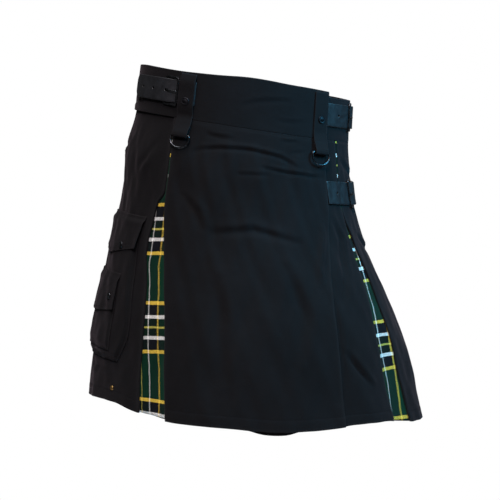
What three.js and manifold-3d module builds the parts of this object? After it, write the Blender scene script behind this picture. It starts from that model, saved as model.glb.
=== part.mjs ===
// Wrapped kilt of black cotton twill with tartan pleat inserts, worn form, hollow inside.
// Millimetres. +Z is up, -Y is the front and +X is the wearer's left.
// The origin is the centre of the waistband's top edge.

import * as THREE from 'three';
import { mergeVertices } from 'three/addons/utils/BufferGeometryUtils.js';
import Module from 'manifold-3d';

const wasm = await Module();
wasm.setup();

// Driving sizes of the whole garment.
const hemDrop = 589;
const bandHeight = 78;
const seamGap = 0.3;
const layerGap = 0.5;
const clothWall = 1.6;
const waistDepthRatio = 0.74;
const hemDepthRatio = 0.70;

// The body's rings. drop is measured down from the waist's top edge, centre lies along X,
// lean is how far the ring falls for each millimetre towards the wearer's left.
const bodyRings = [
  { drop: 0, centre: 0, halfWidth: 185, lean: 0.154 },
  { drop: 86, centre: -8, halfWidth: 190, lean: 0.15 },
  { drop: 149, centre: -15, halfWidth: 201, lean: 0.131 },
  { drop: 202, centre: -13, halfWidth: 207.5, lean: 0.127 },
  { drop: 265, centre: -9, halfWidth: 221, lean: 0.112 },
  { drop: 347, centre: 2, halfWidth: 246, lean: 0.101 },
  { drop: 447, centre: 10.5, halfWidth: 274.5, lean: 0.086 },
  { drop: 530, centre: 13, halfWidth: 290, lean: 0.073 },
  { drop: 604, centre: 16, halfWidth: 302, lean: 0.058 },
];

// The largest soft folds, shared by every layer: each one stands out (or in, when negative)
// round its own angle and fades in between two drops.
const softFolds = [
  { degrees: 43, spread: 9, out: 5, from: 330, to: 560 },
  { degrees: 55, spread: 8, out: -3, from: 330, to: 520 },
  { degrees: 29, spread: 8, out: -3, from: 300, to: 470 },
  { degrees: -20, spread: 8, out: 4, from: 380, to: 600 },
  { degrees: 8, spread: 10, out: 3, from: 420, to: 600 },
  { degrees: 84, spread: 9, out: 5, from: 300, to: 560 },
  { degrees: -84, spread: 10, out: 3, from: 380, to: 600 },
  { degrees: 129, spread: 9, out: 6, from: 300, to: 560 },
  { degrees: -129, spread: 9, out: 6, from: 300, to: 560 },
  { degrees: 163, spread: 9, out: 5, from: 300, to: 560 },
  { degrees: -163, spread: 9, out: 5, from: 300, to: 560 },
];

// The hem isn't level: how far it is lifted round the body, and the share of that lift which
// each drop takes. drop in hemLift counts degrees from the front's centre.
const hemLift = [
  { drop: -180, lift: 6 }, { drop: -120, lift: 6 }, { drop: -100, lift: 8 }, { drop: -80, lift: 14 },
  { drop: -55, lift: 18 }, { drop: -44, lift: 9 }, { drop: -30, lift: 2 }, { drop: -10, lift: 2 },
  { drop: 5, lift: 0 }, { drop: 15, lift: 3 }, { drop: 27, lift: 8 }, { drop: 35, lift: 14 },
  { drop: 50, lift: 17 }, { drop: 62, lift: 9 }, { drop: 75, lift: 6 }, { drop: 180, lift: 6 },
];
const liftShare = [{ drop: 485, share: 0 }, { drop: 540, share: 0.5 }, { drop: 604, share: 1.08 }];

// Radial levels of the wall centres, outward from the body's surface.
const level = {
  panel: -0.8,
  insert: -5.9,
  apron: 3.8,
  apronReturn: 1.7,
  band: 2.6,
  bandInside: -0.9,
};
const bandWall = 2.6;

// Pleat returns: how far the cloth is turned back behind an edge, and the radius of the turn.
const pleatReturn = 25;
const foldRadius = 1.4;
const foldSteps = 3;

// Edges as they run from waist to hem, in degrees from the front's centre towards +X.
const apronLeftEdge = [
  { drop: 78, degrees: -37.5 }, { drop: 150, degrees: -34.2 }, { drop: 202, degrees: -36 },
  { drop: 240, degrees: -36.5 }, { drop: 300, degrees: -35.9 }, { drop: 350, degrees: -34.8 },
  { drop: 400, degrees: -33.7 }, { drop: 470, degrees: -32.4 }, { drop: 604, degrees: -30.2 },
];
const apronFreeEdge = [
  { drop: 78, degrees: 49.3 }, { drop: 150, degrees: 48.5 }, { drop: 205, degrees: 46.8 },
  { drop: 251, degrees: 44.1 }, { drop: 341, degrees: 36.2 }, { drop: 444, degrees: 32.7 },
  { drop: 604, degrees: 30.5 },
];
const underApronEdge = [
  { drop: 78, degrees: 59.5 }, { drop: 200, degrees: 61.2 }, { drop: 264, degrees: 61 },
  { drop: 320, degrees: 59.5 }, { drop: 397, degrees: 56.2 }, { drop: 456, degrees: 54.2 },
  { drop: 604, degrees: 54.5 },
];

// Gap between two black panels: pressed shut down to the hip, then open to the hem.
const pleatGap = [
  { drop: 78, width: 2.3 }, { drop: 196, width: 2.3 }, { drop: 222, width: 26 },
  { drop: 300, width: 40 }, { drop: 450, width: 44 }, { drop: 604, width: 52 },
];
const backPleats = [-111, -147, 180, 147, 111];

const rad = THREE.MathUtils.degToRad;

// Where a drop falls in a table: the row above it and the share of the way to the next row.
function rowAt(table, drop) {
  const last = table.length - 1;
  const held = THREE.MathUtils.clamp(drop, table[0].drop, table[last].drop);
  const i = Math.max(0, table.findLastIndex((row, k) => k < last && row.drop <= held));
  const span = table[i + 1].drop - table[i].drop;
  return { i, last, span, t: (held - table[i].drop) / span };
}

// Reads a column of a table at a drop, on a smooth curve through the rows.
function read(table, column, drop) {
  const { i, last, span, t } = rowAt(table, drop);
  const slope = (k) => {
    const a = table[Math.max(k - 1, 0)];
    const b = table[Math.min(k + 1, last)];
    return (b[column] - a[column]) / (b.drop - a.drop);
  };
  const h = (1 - t) * (1 - t);
  return h * (1 + 2 * t) * table[i][column] + h * t * span * slope(i)
    + t * t * (3 - 2 * t) * table[i + 1][column] - t * t * (1 - t) * span * slope(i + 1);
}

// Straight reading, for tables whose rows must not overshoot.
function readStraight(table, column, drop) {
  const { i, t } = rowAt(table, drop);
  return THREE.MathUtils.lerp(table[i][column], table[i + 1][column], t);
}

// The smooth body, cut into straight rows, so that every layer has its bends at the same drops.
const rowDrops = [0, 78.3, 135, 196, 226, 270, 320, 375, 430, 485, 540, 604];
const bodyRows = rowDrops.map((drop) => {
  const halfWidth = read(bodyRings, 'halfWidth', drop);
  const share = THREE.MathUtils.clamp(drop / hemDrop, 0, 1);
  const halfDepth = halfWidth * THREE.MathUtils.lerp(waistDepthRatio, hemDepthRatio, share);
  return {
    drop,
    halfWidth,
    halfDepth,
    centre: read(bodyRings, 'centre', drop),
    lean: read(bodyRings, 'lean', drop),
    perDegree: (Math.PI * (halfWidth + halfDepth)) / 360,
  };
});

// A drop above the waist or below the hem carries on along the nearest row's slope.
function ringAt(drop) {
  const { i: low, span } = rowAt(bodyRows, drop);
  const t = (drop - bodyRows[low].drop) / span;
  const ring = {};
  for (const key of ['halfWidth', 'halfDepth', 'centre', 'lean', 'perDegree']) {
    ring[key] = THREE.MathUtils.lerp(bodyRows[low][key], bodyRows[low + 1][key], t);
  }
  return ring;
}

// Signed difference of two directions, within half a turn.
function turnBetween(a, b) {
  return THREE.MathUtils.euclideanModulo(a - b + 180, 360) - 180;
}

function foldOut(degrees, drop) {
  let out = 0;
  for (const fold of softFolds) {
    const off = turnBetween(degrees, fold.degrees) / fold.spread;
    out += fold.out * Math.exp(-off * off) * THREE.MathUtils.smoothstep(drop, fold.from, fold.to);
  }
  return out;
}

// A point of the garment: direction round the body, drop below the waist, distance outward.
function bodyPoint(degrees, drop, out) {
  const ring = ringAt(drop);
  const reach = out + foldOut(degrees, drop);
  const x = ring.centre + (ring.halfWidth + reach) * Math.sin(rad(degrees));
  const y = -(ring.halfDepth + reach) * Math.cos(rad(degrees));
  const lift = read(hemLift, 'lift', turnBetween(degrees, 0)) * readStraight(liftShare, 'share', drop);
  return new THREE.Vector3(x, y, lift - drop - ring.lean * (x - ring.centre));
}

// Turns a list of points and faces into a geometry whose faces point out.
function solid(points, faces) {
  const positions = new Float32Array(points.flatMap((p) => [p.x, p.y, p.z]));
  let volume = 0;
  for (const [a, b, c] of faces) {
    volume += points[a].dot(new THREE.Vector3().crossVectors(points[b], points[c]));
  }
  const geometry = new THREE.BufferGeometry();
  geometry.setAttribute('position', new THREE.BufferAttribute(positions, 3));
  geometry.setIndex(faces.flatMap(([a, b, c]) => (volume > 0 ? [a, b, c] : [a, c, b])));
  return geometry;
}

function addQuad(faces, a, b, c, d) {
  faces.push([a, b, c], [a, c, d]);
}

// Closed solid between two grids of points that share rows and columns.
function shell(outer, inner) {
  const rows = outer.length;
  const columns = outer[0].length;
  const points = [...outer.flat(), ...inner.flat()];
  const half = rows * columns;
  const faces = [];
  const at = (row, column) => row * columns + column;
  for (let r = 0; r < rows - 1; r += 1) {
    for (let c = 0; c < columns - 1; c += 1) {
      addQuad(faces, at(r, c), at(r + 1, c), at(r + 1, c + 1), at(r, c + 1));
      addQuad(faces, half + at(r, c), half + at(r, c + 1), half + at(r + 1, c + 1), half + at(r + 1, c));
    }
    addQuad(faces, at(r, 0), half + at(r, 0), half + at(r + 1, 0), at(r + 1, 0));
    const end = columns - 1;
    addQuad(faces, at(r, end), at(r + 1, end), half + at(r + 1, end), half + at(r, end));
  }
  for (let c = 0; c < columns - 1; c += 1) {
    addQuad(faces, at(0, c), at(0, c + 1), half + at(0, c + 1), half + at(0, c));
    const low = rows - 1;
    addQuad(faces, at(low, c), half + at(low, c), half + at(low, c + 1), at(low, c + 1));
  }
  return solid(points, faces);
}

// Unit normal of a flat path at one of its points, on the outward side.
function pathNormal(path, i) {
  const direction = new THREE.Vector2();
  if (i > 0) direction.add(path[i].clone().sub(path[i - 1]).normalize());
  if (i < path.length - 1) direction.add(path[i + 1].clone().sub(path[i]).normalize());
  direction.normalize();
  return new THREE.Vector2(-direction.y, direction.x);
}

// Cloth wall whose cross-section runs round the body. path(drop) lists the wall's centre as
// { degrees, along, out }, where along is a shift in millimetres, and dropAt bends the rows.
function clothWallSolid({ drops, path, wall = clothWall, dropAt = (drop) => drop }) {
  const outer = [];
  const inner = [];
  for (const drop of drops) {
    const { perDegree } = ringAt(drop);
    const flat = path(drop).map((p) => new THREE.Vector2(p.degrees * perDegree + (p.along ?? 0), p.out));
    const place = (p) => bodyPoint(p.x / perDegree, dropAt(drop, p.x / perDegree), p.y);
    outer.push(flat.map((p, i) => place(p.clone().addScaledVector(pathNormal(flat, i), wall / 2))));
    inner.push(flat.map((p, i) => place(p.clone().addScaledVector(pathNormal(flat, i), -wall / 2))));
  }
  return shell(outer, inner);
}

function steps(from, to, count) {
  return Array.from({ length: count + 1 }, (_, i) => THREE.MathUtils.lerp(from, to, i / count));
}

// Half-turn at a pleat's edge. side is +1 where the edge faces +degrees and -1 where it faces back.
function foldTurn(degrees, out, side, radius = foldRadius) {
  const turn = [];
  for (let i = 1; i < foldSteps; i += 1) {
    const angle = (Math.PI * i) / foldSteps;
    turn.push({
      degrees,
      along: side * radius * (Math.sin(angle) - 1),
      out: out - radius * (1 - Math.cos(angle)),
    });
  }
  return turn;
}

// Path of a panel between two edges, turned back behind the edges that are pleats.
function panelPath(left, right, out, { columns, foldLeft = true, foldRight = true, radius = foldRadius }) {
  const path = [];
  const back = out - 2 * radius;
  if (foldLeft) {
    path.push({ degrees: left, along: pleatReturn, out: back });
    path.push({ degrees: left, along: pleatReturn / 2, out: back });
    path.push({ degrees: left, along: radius, out: back });
    path.push(...foldTurn(left, out, -1, radius).reverse());
  }
  steps(0, 1, columns).forEach((t) => {
    const along = THREE.MathUtils.lerp(foldLeft ? radius : 0, foldRight ? -radius : 0, t);
    path.push({ degrees: THREE.MathUtils.lerp(left, right, t), along, out });
  });
  if (foldRight) {
    path.push(...foldTurn(right, out, 1, radius));
    path.push({ degrees: right, along: -radius, out: back });
    path.push({ degrees: right, along: -pleatReturn / 2, out: back });
    path.push({ degrees: right, along: -pleatReturn, out: back });
  }
  return path;
}

const blackCloth = { color: 0x101317, roughness: 0.92, metalness: 0 };
const tartanCloth = { color: 0x16402f, roughness: 0.9, metalness: 0 };
const blackLeather = { color: 0x1a1c20, roughness: 0.5, metalness: 0 };
const darkMetal = { color: 0x8f959c, roughness: 0.32, metalness: 1 };
const brassMetal = { color: 0xb08a4a, roughness: 0.35, metalness: 1 };

const kilt = new THREE.Group();

function add(name, geometry, finish) {
  const mesh = new THREE.Mesh(geometry, new THREE.MeshStandardMaterial(finish));
  mesh.name = name;
  kilt.add(mesh);
}

// Black panels.
const panelTop = bandHeight + seamGap;
const panelDrops = [panelTop, ...rowDrops.slice(2, -1), hemDrop];

function halfGap(drop) {
  return readStraight(pleatGap, 'width', drop) / 2 / ringAt(drop).perDegree;
}

// Hem peek: the under apron hangs a little lower than the front apron near the middle.
const hemPeek = { degrees: 6, spread: 7, extra: 9, above: 60 };
// The under apron's edge that lies inside starts this far clear of the front apron's return.
const underApronClear = 8;

function underApronDrop(drop, degrees) {
  const off = (degrees - hemPeek.degrees) / hemPeek.spread;
  const near = THREE.MathUtils.smoothstep(drop, hemDrop - hemPeek.above, hemDrop);
  return drop + hemPeek.extra * Math.exp(-(off ** 4)) * near;
}

function buildAprons() {
  add('front_apron', clothWallSolid({
    drops: panelDrops,
    path: (drop) => panelPath(
      read(apronLeftEdge, 'degrees', drop), read(apronFreeEdge, 'degrees', drop), level.apron,
      { columns: 19, radius: (level.apron - level.apronReturn) / 2 },
    ),
  }), blackCloth);
  const hiddenEdgeShift = pleatReturn + underApronClear;
  add('under_apron', clothWallSolid({
    drops: panelDrops,
    dropAt: underApronDrop,
    path: (drop) => panelPath(
      read(apronLeftEdge, 'degrees', drop) + hiddenEdgeShift / ringAt(drop).perDegree,
      read(underApronEdge, 'degrees', drop), level.panel, { columns: 21, foldLeft: false },
    ),
  }), blackCloth);
}

// Edges of the side panels at the two gaps beside the aprons. shut is the width between the
// edges where the pleat is pressed shut, and the gap opens between the drops start and end.
const shutGap = { right: 2.2, left: 2.3 };
const gapOpens = { start: 196, end: 222 };
const rightGapEdge = [
  { drop: 196, degrees: -36.6 }, { drop: 222, degrees: -41.9 }, { drop: 252, degrees: -44.5 },
  { drop: 290, degrees: -46.5 }, { drop: 314, degrees: -46.9 }, { drop: 391, degrees: -45 },
  { drop: 450, degrees: -43.8 }, { drop: 604, degrees: -42.8 },
];
const leftGapEdge = [
  { drop: 205, degrees: 62 }, { drop: 254, degrees: 66 }, { drop: 320, degrees: 68 },
  { drop: 400, degrees: 66.5 }, { drop: 480, degrees: 65.5 }, { drop: 604, degrees: 68.5 },
];

function rightSideGapLeft(drop) {
  const shut = read(apronLeftEdge, 'degrees', drop) - shutGap.right / ringAt(drop).perDegree;
  const wide = Math.min(shut, readStraight(rightGapEdge, 'degrees', drop));
  const opening = THREE.MathUtils.smoothstep(drop, gapOpens.start, gapOpens.end);
  return THREE.MathUtils.lerp(shut, wide, opening);
}

function leftSideGapRight(drop) {
  const shut = read(underApronEdge, 'degrees', drop) + shutGap.left / ringAt(drop).perDegree;
  return Math.max(shut, readStraight(leftGapEdge, 'degrees', drop));
}

// The black panels from the wearer's right side round the back to the left side.
function buildPanels() {
  const backEdges = backPleats.map((centre) => ({
    before: (drop) => centre + halfGap(drop),
    after: (drop) => centre - halfGap(drop),
  }));
  const runs = [
    { name: 'side_panel_right', high: rightSideGapLeft, low: backEdges[0].before, columns: 15 },
    { name: 'back_panel_1', high: backEdges[0].after, low: backEdges[1].before, columns: 8 },
    { name: 'back_panel_2', high: backEdges[1].after, low: (drop) => backEdges[2].before(drop) - 360, columns: 8 },
    { name: 'back_panel_3', high: backEdges[2].after, low: backEdges[3].before, columns: 8 },
    { name: 'back_panel_4', high: backEdges[3].after, low: backEdges[4].before, columns: 8 },
    { name: 'side_panel_left', high: backEdges[4].after, low: leftSideGapRight, columns: 10 },
  ];
  for (const { name, high, low, columns } of runs) {
    add(name, clothWallSolid({
      drops: panelDrops,
      path: (drop) => panelPath(low(drop), high(drop), level.panel, { columns }),
    }), blackCloth);
  }
}

// Tartan inserts lie behind the turned-back edges on both sides of their gap.
// Tartan inserts: each reaches behind the edges of its gap, sinks a little between them and
// ends shorter than the black cloth. risen is the share of the reach where the insert behind
// the apron has come up to the apron's own level.
const insert = { reach: 21, wall: 1.2, recess: 7, shorter: 2, risen: 0.6 };
const insertDrops = [...panelDrops.slice(0, -1), hemDrop - insert.shorter];

function insertPath(low, high, outHigh, drop) {
  const recess = insert.recess * THREE.MathUtils.smoothstep(drop, gapOpens.start, hemDrop);
  const path = [
    { degrees: low, along: -insert.reach, out: level.insert },
    { degrees: low, along: -insert.reach / 2, out: level.insert },
  ];
  for (const t of steps(0, 1, 4)) {
    const out = level.insert - recess * Math.sin(Math.PI * t);
    path.push({ degrees: THREE.MathUtils.lerp(low, high, t), out });
  }
  path.push({ degrees: high, along: insert.reach * insert.risen, out: outHigh });
  path.push({ degrees: high, along: insert.reach, out: outHigh });
  return path;
}

function buildInserts() {
  const nearApron = level.apronReturn - clothWall / 2 - layerGap - insert.wall / 2;
  add('tartan_pleat_1', clothWallSolid({
    drops: insertDrops,
    wall: insert.wall,
    path: (drop) => insertPath(
      rightSideGapLeft(drop), read(apronLeftEdge, 'degrees', drop), nearApron, drop,
    ),
  }), tartanCloth);
  backPleats.forEach((centre, i) => {
    add(`tartan_pleat_${i + 2}`, clothWallSolid({
      drops: insertDrops,
      wall: insert.wall,
      path: (drop) => insertPath(centre - halfGap(drop), centre + halfGap(drop), level.insert, drop),
    }), tartanCloth);
  });
  add('tartan_pleat_7', clothWallSolid({
    drops: insertDrops,
    wall: insert.wall,
    path: (drop) => insertPath(
      read(underApronEdge, 'degrees', drop), leftSideGapRight(drop), level.insert, drop,
    ),
  }), tartanCloth);
}

// Waistband: one strip from its free end at the front, round the body and under itself.
// drop in bandLevels counts the degrees travelled from the free end, and rise lifts the top edge.
const bandTurns = { freeEnd: 49.5, hiddenEnd: -384, count: 104 };
const bandLevels = [
  { drop: 0, out: level.band, rise: 5 },
  { drop: 12, out: level.band, rise: 6.5 },
  { drop: 26.5, out: level.band, rise: 7 },
  { drop: 38.5, out: level.band, rise: 9 },
  { drop: 49.5, out: level.band, rise: 9 },
  { drop: 60.5, out: level.band, rise: 5.4 },
  { drop: 70, out: level.band, rise: 3.6 },
  { drop: 83, out: level.band, rise: 1.8 },
  { drop: 95, out: level.band, rise: 1.8 },
  { drop: 117, out: level.band, rise: 3.6 },
  { drop: 135, out: level.band, rise: 2 },
  { drop: 175, out: level.bandInside, rise: 0 },
  { drop: 290, out: level.bandInside, rise: -2 },
  { drop: 312, out: level.bandInside, rise: -4 },
  { drop: 345, out: level.bandInside, rise: -4 },
  { drop: 440, out: level.bandInside, rise: -3 },
];

function buildWaistband() {
  const outer = [];
  const inner = [];
  for (const share of [0, 1]) {
    const outerRow = [];
    const innerRow = [];
    for (const degrees of steps(bandTurns.freeEnd, bandTurns.hiddenEnd, bandTurns.count)) {
      const travelled = bandTurns.freeEnd - degrees;
      const out = readStraight(bandLevels, 'out', travelled);
      const drop = bandHeight * share - readStraight(bandLevels, 'rise', travelled) * (1 - share);
      outerRow.push(bodyPoint(degrees, drop, out + bandWall / 2));
      innerRow.push(bodyPoint(degrees, drop, out - bandWall / 2));
    }
    outer.push(outerRow);
    inner.push(innerRow);
  }
  add('waistband', shell(outer, inner), blackCloth);
}

// Pieces that lie on the garment are drawn flat (u to the wearer's left, v down, w outward)
// and laid on the body at an anchor.
function onBody({ degrees, drop }, u, v, w) {
  return bodyPoint(degrees + u / ringAt(drop).perDegree, drop + v, w);
}

function layOn(anchor, geometry, lift = () => 0) {
  const flat = geometry.clone();
  flat.deleteAttribute('normal');
  flat.deleteAttribute('uv');
  const merged = mergeVertices(flat, 0.0005);
  const position = merged.getAttribute('position');
  const points = [];
  for (let i = 0; i < position.count; i += 1) {
    const u = position.getX(i);
    const v = -position.getY(i);
    points.push(onBody(anchor, u, v, position.getZ(i) + lift(u, v)));
  }
  const index = merged.index.array;
  const faces = [];
  for (let i = 0; i < index.length; i += 3) faces.push([index[i], index[i + 1], index[i + 2]]);
  return solid(points, faces);
}

function roundedOutline(width, height, radius) {
  const shape = new THREE.Shape();
  const x = width / 2;
  const y = height / 2;
  shape.moveTo(-x + radius, -y);
  shape.lineTo(x - radius, -y);
  shape.quadraticCurveTo(x, -y, x, -y + radius);
  shape.lineTo(x, y - radius);
  shape.quadraticCurveTo(x, y, x - radius, y);
  shape.lineTo(-x + radius, y);
  shape.quadraticCurveTo(-x, y, -x, y - radius);
  shape.lineTo(-x, -y + radius);
  shape.quadraticCurveTo(-x, -y, -x + radius, -y);
  return shape;
}

// Vertical strips, such as loops: profile lists { v, out } down the strip's centre.
function uprightStrip(anchor, width, profile, wall, columns = 2) {
  const outer = [];
  const inner = [];
  const flat = profile.map((p) => new THREE.Vector2(p.v, p.out));
  flat.forEach((p, i) => {
    const normal = pathNormal(flat, i).multiplyScalar(wall / 2);
    const across = steps(-width / 2, width / 2, columns);
    outer.push(across.map((u) => onBody(anchor, u, p.x + normal.x, p.y + normal.y)));
    inner.push(across.map((u) => onBody(anchor, u, p.x - normal.x, p.y - normal.y)));
  });
  return shell(outer, inner);
}

// Belt loops and the D-rings that hang from the two front ones. rise lifts a loop with the
// waistband's edge, and overStrap is how far it stands off where a strap runs under it.
const loop = { width: 26, wall: 1.6, clear: 0.6 };
const dRing = { width: 38.5, height: 25, wire: 1.6, sides: 8, shoulder: 0.35 };
const frontLoops = [
  { name: 'right', degrees: -30.6, rise: 0, overStrap: 3.2 },
  { name: 'left', degrees: 43.6, rise: 4, overStrap: 0 },
];
const backLoops = [
  { name: 'back_1', degrees: -129 }, { name: 'back_2', degrees: 180 }, { name: 'back_3', degrees: 129 },
];
const barDrop = 105;
const bandFace = level.band + bandWall / 2;
const bandInsideFace = level.bandInside + bandWall / 2;
const apronFace = level.apron + clothWall / 2;
const panelFace = level.panel + clothWall / 2;
const loopOut = bandFace + layerGap + loop.clear + loop.wall / 2;
const wrapRadius = dRing.wire + layerGap + loop.wall / 2;
const tabBack = apronFace + layerGap + loop.clear + loop.wall / 2;
const barOut = tabBack + wrapRadius;

// Down a front loop: v is the drop below its anchor, over the strap's share of overStrap and
// off what is added to the loop's own level. It leaves the waistband at v 84 for the bar.
const frontLoopStations = [
  { v: 1, over: 0, off: 0 }, { v: 10, over: 1, off: 0 }, { v: 57, over: 1, off: 0 },
  { v: 70, over: 0, off: 0 }, { v: 84, over: 0, off: 2.4 },
];
const tabEnd = 90;
const backLoopStations = [2, 24, 54, 76];
const snap = { drop: 48, radius: 6.5, height: 2.2 };

function frontLoopProfile(overStrap) {
  const profile = frontLoopStations.map(({ v, over, off }) => ({ v, out: loopOut + over * overStrap + off }));
  profile.push({ v: barDrop - 4, out: barOut + wrapRadius - 0.6 });
  for (const angle of steps(90, -90, 6)) {
    profile.push({
      v: barDrop + wrapRadius * Math.cos(rad(angle)),
      out: barOut + wrapRadius * Math.sin(rad(angle)),
    });
  }
  profile.push({ v: tabEnd, out: tabBack });
  return profile;
}

// Closed ring of round wire along a flat outline, placed by a frame of three directions.
function wireRing(outline, radius, sides, place) {
  const count = outline.length;
  const points = [];
  const faces = [];
  outline.forEach((p, i) => {
    const before = outline[(i + count - 1) % count];
    const after = outline[(i + 1) % count];
    const direction = p.clone().sub(before).normalize().add(after.clone().sub(p).normalize()).normalize();
    const side = new THREE.Vector2(direction.y, -direction.x);
    for (let k = 0; k < sides; k += 1) {
      const angle = (2 * Math.PI * k) / sides;
      const offset = side.clone().multiplyScalar(radius * Math.cos(angle));
      points.push(place(p.x + offset.x, p.y + offset.y, radius * Math.sin(angle)));
    }
  });
  for (let i = 0; i < count; i += 1) {
    for (let k = 0; k < sides; k += 1) {
      const next = (i + 1) % count;
      const turn = (k + 1) % sides;
      addQuad(faces, i * sides + k, next * sides + k, next * sides + turn, i * sides + turn);
    }
  }
  return solid(points, faces);
}

function dOutline() {
  const reach = dRing.width / 2 - dRing.wire;
  const fall = dRing.height - 2 * dRing.wire;
  const shoulder = fall * dRing.shoulder;
  const outline = [new THREE.Vector2(-reach, 0), new THREE.Vector2(0, 0), new THREE.Vector2(reach, 0)];
  for (const angle of steps(0, 180, 10)) {
    outline.push(new THREE.Vector2(
      reach * Math.cos(rad(angle)),
      -shoulder - (fall - shoulder) * Math.sin(rad(angle)),
    ));
  }
  return outline;
}

// The ring keeps its own flat plane: along the bar, down the cloth and outward.
function ringFrame(anchor) {
  const ends = [-1, 1].map((side) => onBody(anchor, (side * loop.width) / 2, barDrop, barOut));
  const centre = ends[0].clone().add(ends[1]).multiplyScalar(0.5);
  const along = ends[1].clone().sub(ends[0]).normalize();
  const down = onBody(anchor, 0, barDrop + dRing.height, barOut).sub(centre).normalize();
  const outward = new THREE.Vector3().crossVectors(along, down).normalize().negate();
  const fall = new THREE.Vector3().crossVectors(along, outward).normalize();
  if (fall.z > 0) fall.negate();
  return { centre, along, fall, outward };
}

function buildLoopsAndRings() {
  for (const { name, degrees, rise, overStrap } of frontLoops) {
    const anchor = { degrees, drop: -rise };
    add(`belt_loop_${name}`, uprightStrip(
      anchor, loop.width, frontLoopProfile(overStrap), loop.wall, 1,
    ), blackCloth);
    const frame = ringFrame(anchor);
    const place = (x, y, w) => frame.centre.clone().addScaledVector(frame.along, x)
      .addScaledVector(frame.fall, -y).addScaledVector(frame.outward, w);
    add(`d_ring_${name}`, wireRing(dOutline(), dRing.wire, dRing.sides, place), darkMetal);
    add(`snap_${name}`, capSolid({ degrees, drop: snap.drop - rise }, snap.radius, snap.height,
      loopOut + overStrap + loop.wall / 2 + seamGap), darkMetal);
  }
  const lying = bandInsideFace + layerGap + loop.wall / 2;
  const profile = backLoopStations.map((v) => ({ v, out: lying }));
  for (const { name, degrees } of backLoops) {
    add(`belt_loop_${name}`, uprightStrip({ degrees, drop: 0 }, loop.width, profile, loop.wall, 3), blackCloth);
  }
}

// Low domed cap, such as a snap, stud or rivet head. The rim and dome are shares of its size.
const cap = { rim: 0.5, dome: 0.9, domeRadius: 0.8, turns: 14 };

function capSolid(anchor, radius, height, base) {
  const profile = [
    new THREE.Vector2(0, 0), new THREE.Vector2(radius, 0), new THREE.Vector2(radius, height * cap.rim),
    new THREE.Vector2(radius * cap.domeRadius, height * cap.dome), new THREE.Vector2(0, height),
  ];
  const geometry = new THREE.LatheGeometry(profile, cap.turns).rotateX(Math.PI / 2);
  return layOn(anchor, geometry, () => base);
}

// Buckled straps. The strap comes from start, lies under the frame's near bar and over its
// far bar, and its tip ends at tip. All angles are in degrees round the body. face is the
// surface under the strap, and holes counts the hole spacings from the prong's own hole.
const strap = { width: 40, wall: 2.4, tipLength: 14, holeSpacing: 30, holeRadius: 2.5 };
const buckle = { length: 30, height: 50, bar: 3.6, thickness: 2.4, corner: 6, innerCorner: 3 };
const prong = { width: 3, thickness: 2, play: 0.6 };
const chape = { wall: 1.8, width: 34, length: 32 };
const straps = [
  { name: 'waist_right', start: -26, tip: -76, near: -36.4, drop: 34, face: bandFace, holes: [1, 2] },
  { name: 'waist_left', start: 49.75, tip: 112, near: 74, drop: 34, face: bandInsideFace, holes: [-2, 1, 2] },
  { name: 'hip_left', start: 49, tip: 108, near: 70.5, drop: 171, face: panelFace, holes: [-2, 1, 2] },
];
// The strap's outline towards its tip: how far back from the tip, and the share of half its width.
const tipOutline = [{ back: 8, half: 0.92 }, { back: 3, half: 0.68 }, { back: 0, half: 0.36 }];

// Levels and angles that the pieces of one strap share. low is the strap under the near bar,
// over is the strap over the far bar, and lying is the strap beyond it, on the chape.
function strapPath(spec) {
  const { perDegree } = ringAt(spec.drop);
  const side = Math.sign(spec.tip - spec.start);
  const far = spec.near + (side * (buckle.length - buckle.bar)) / perDegree;
  const mid = (spec.near + far) / 2;
  const low = spec.face + layerGap + strap.wall / 2;
  const over = low + strap.wall + layerGap;
  const lying = low + chape.wall + layerGap;
  const slotFrom = mid + (side * 3.5) / perDegree;
  const slotTo = far - (side * 2.4) / perDegree;
  return { side, far, mid, low, over, lying, perDegree, slotFrom, slotTo };
}

function strapSolid(spec) {
  const { side, far, mid, low, over, lying, perDegree } = strapPath(spec);
  const nearRise = 0.6;
  const farFlat = 0.8;
  const settled = 5;
  const stations = [];
  const count = Math.max(3, Math.round(Math.abs(spec.near - spec.start) / 8));
  for (const degrees of steps(spec.start, spec.near + side * nearRise, count)) {
    stations.push({ degrees, out: low, half: 1 });
  }
  stations.push({ degrees: mid, out: (low + over) / 2, half: 1 });
  stations.push({ degrees: far - side * farFlat, out: over, half: 1 });
  stations.push({ degrees: far + side * farFlat, out: over, half: 1 });
  const tipStart = spec.tip - (side * strap.tipLength) / perDegree;
  for (const degrees of steps(far + side * settled, tipStart, 3)) stations.push({ degrees, out: lying, half: 1 });
  for (const { back, half } of tipOutline) {
    stations.push({ degrees: spec.tip - (side * back) / perDegree, out: lying, half });
  }
  return bandAlong(stations.map((station) => ({
    ...station, drops: steps(-0.5, 0.5, 2).map((t) => spec.drop + t * strap.width * station.half),
  })), strap.wall);
}

// Flat band laid along stations, each with its angle, level and the drops across it.
function bandAlong(stations, wall) {
  const side = (shift) => stations.map(({ degrees, out, drops }) => drops.map(
    (drop) => bodyPoint(degrees, drop, out + shift),
  ));
  return shell(side(wall / 2), side(-wall / 2));
}

function toManifold(geometry) {
  const vertProperties = new Float32Array(geometry.getAttribute('position').array);
  const triVerts = new Uint32Array(geometry.index.array);
  return new wasm.Manifold(new wasm.Mesh({ numProp: 3, vertProperties, triVerts }));
}

function fromManifold(manifold) {
  const mesh = manifold.getMesh();
  const geometry = new THREE.BufferGeometry();
  geometry.setAttribute('position', new THREE.BufferAttribute(new Float32Array(mesh.vertProperties), 3));
  geometry.setIndex(Array.from(mesh.triVerts));
  return geometry;
}

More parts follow.
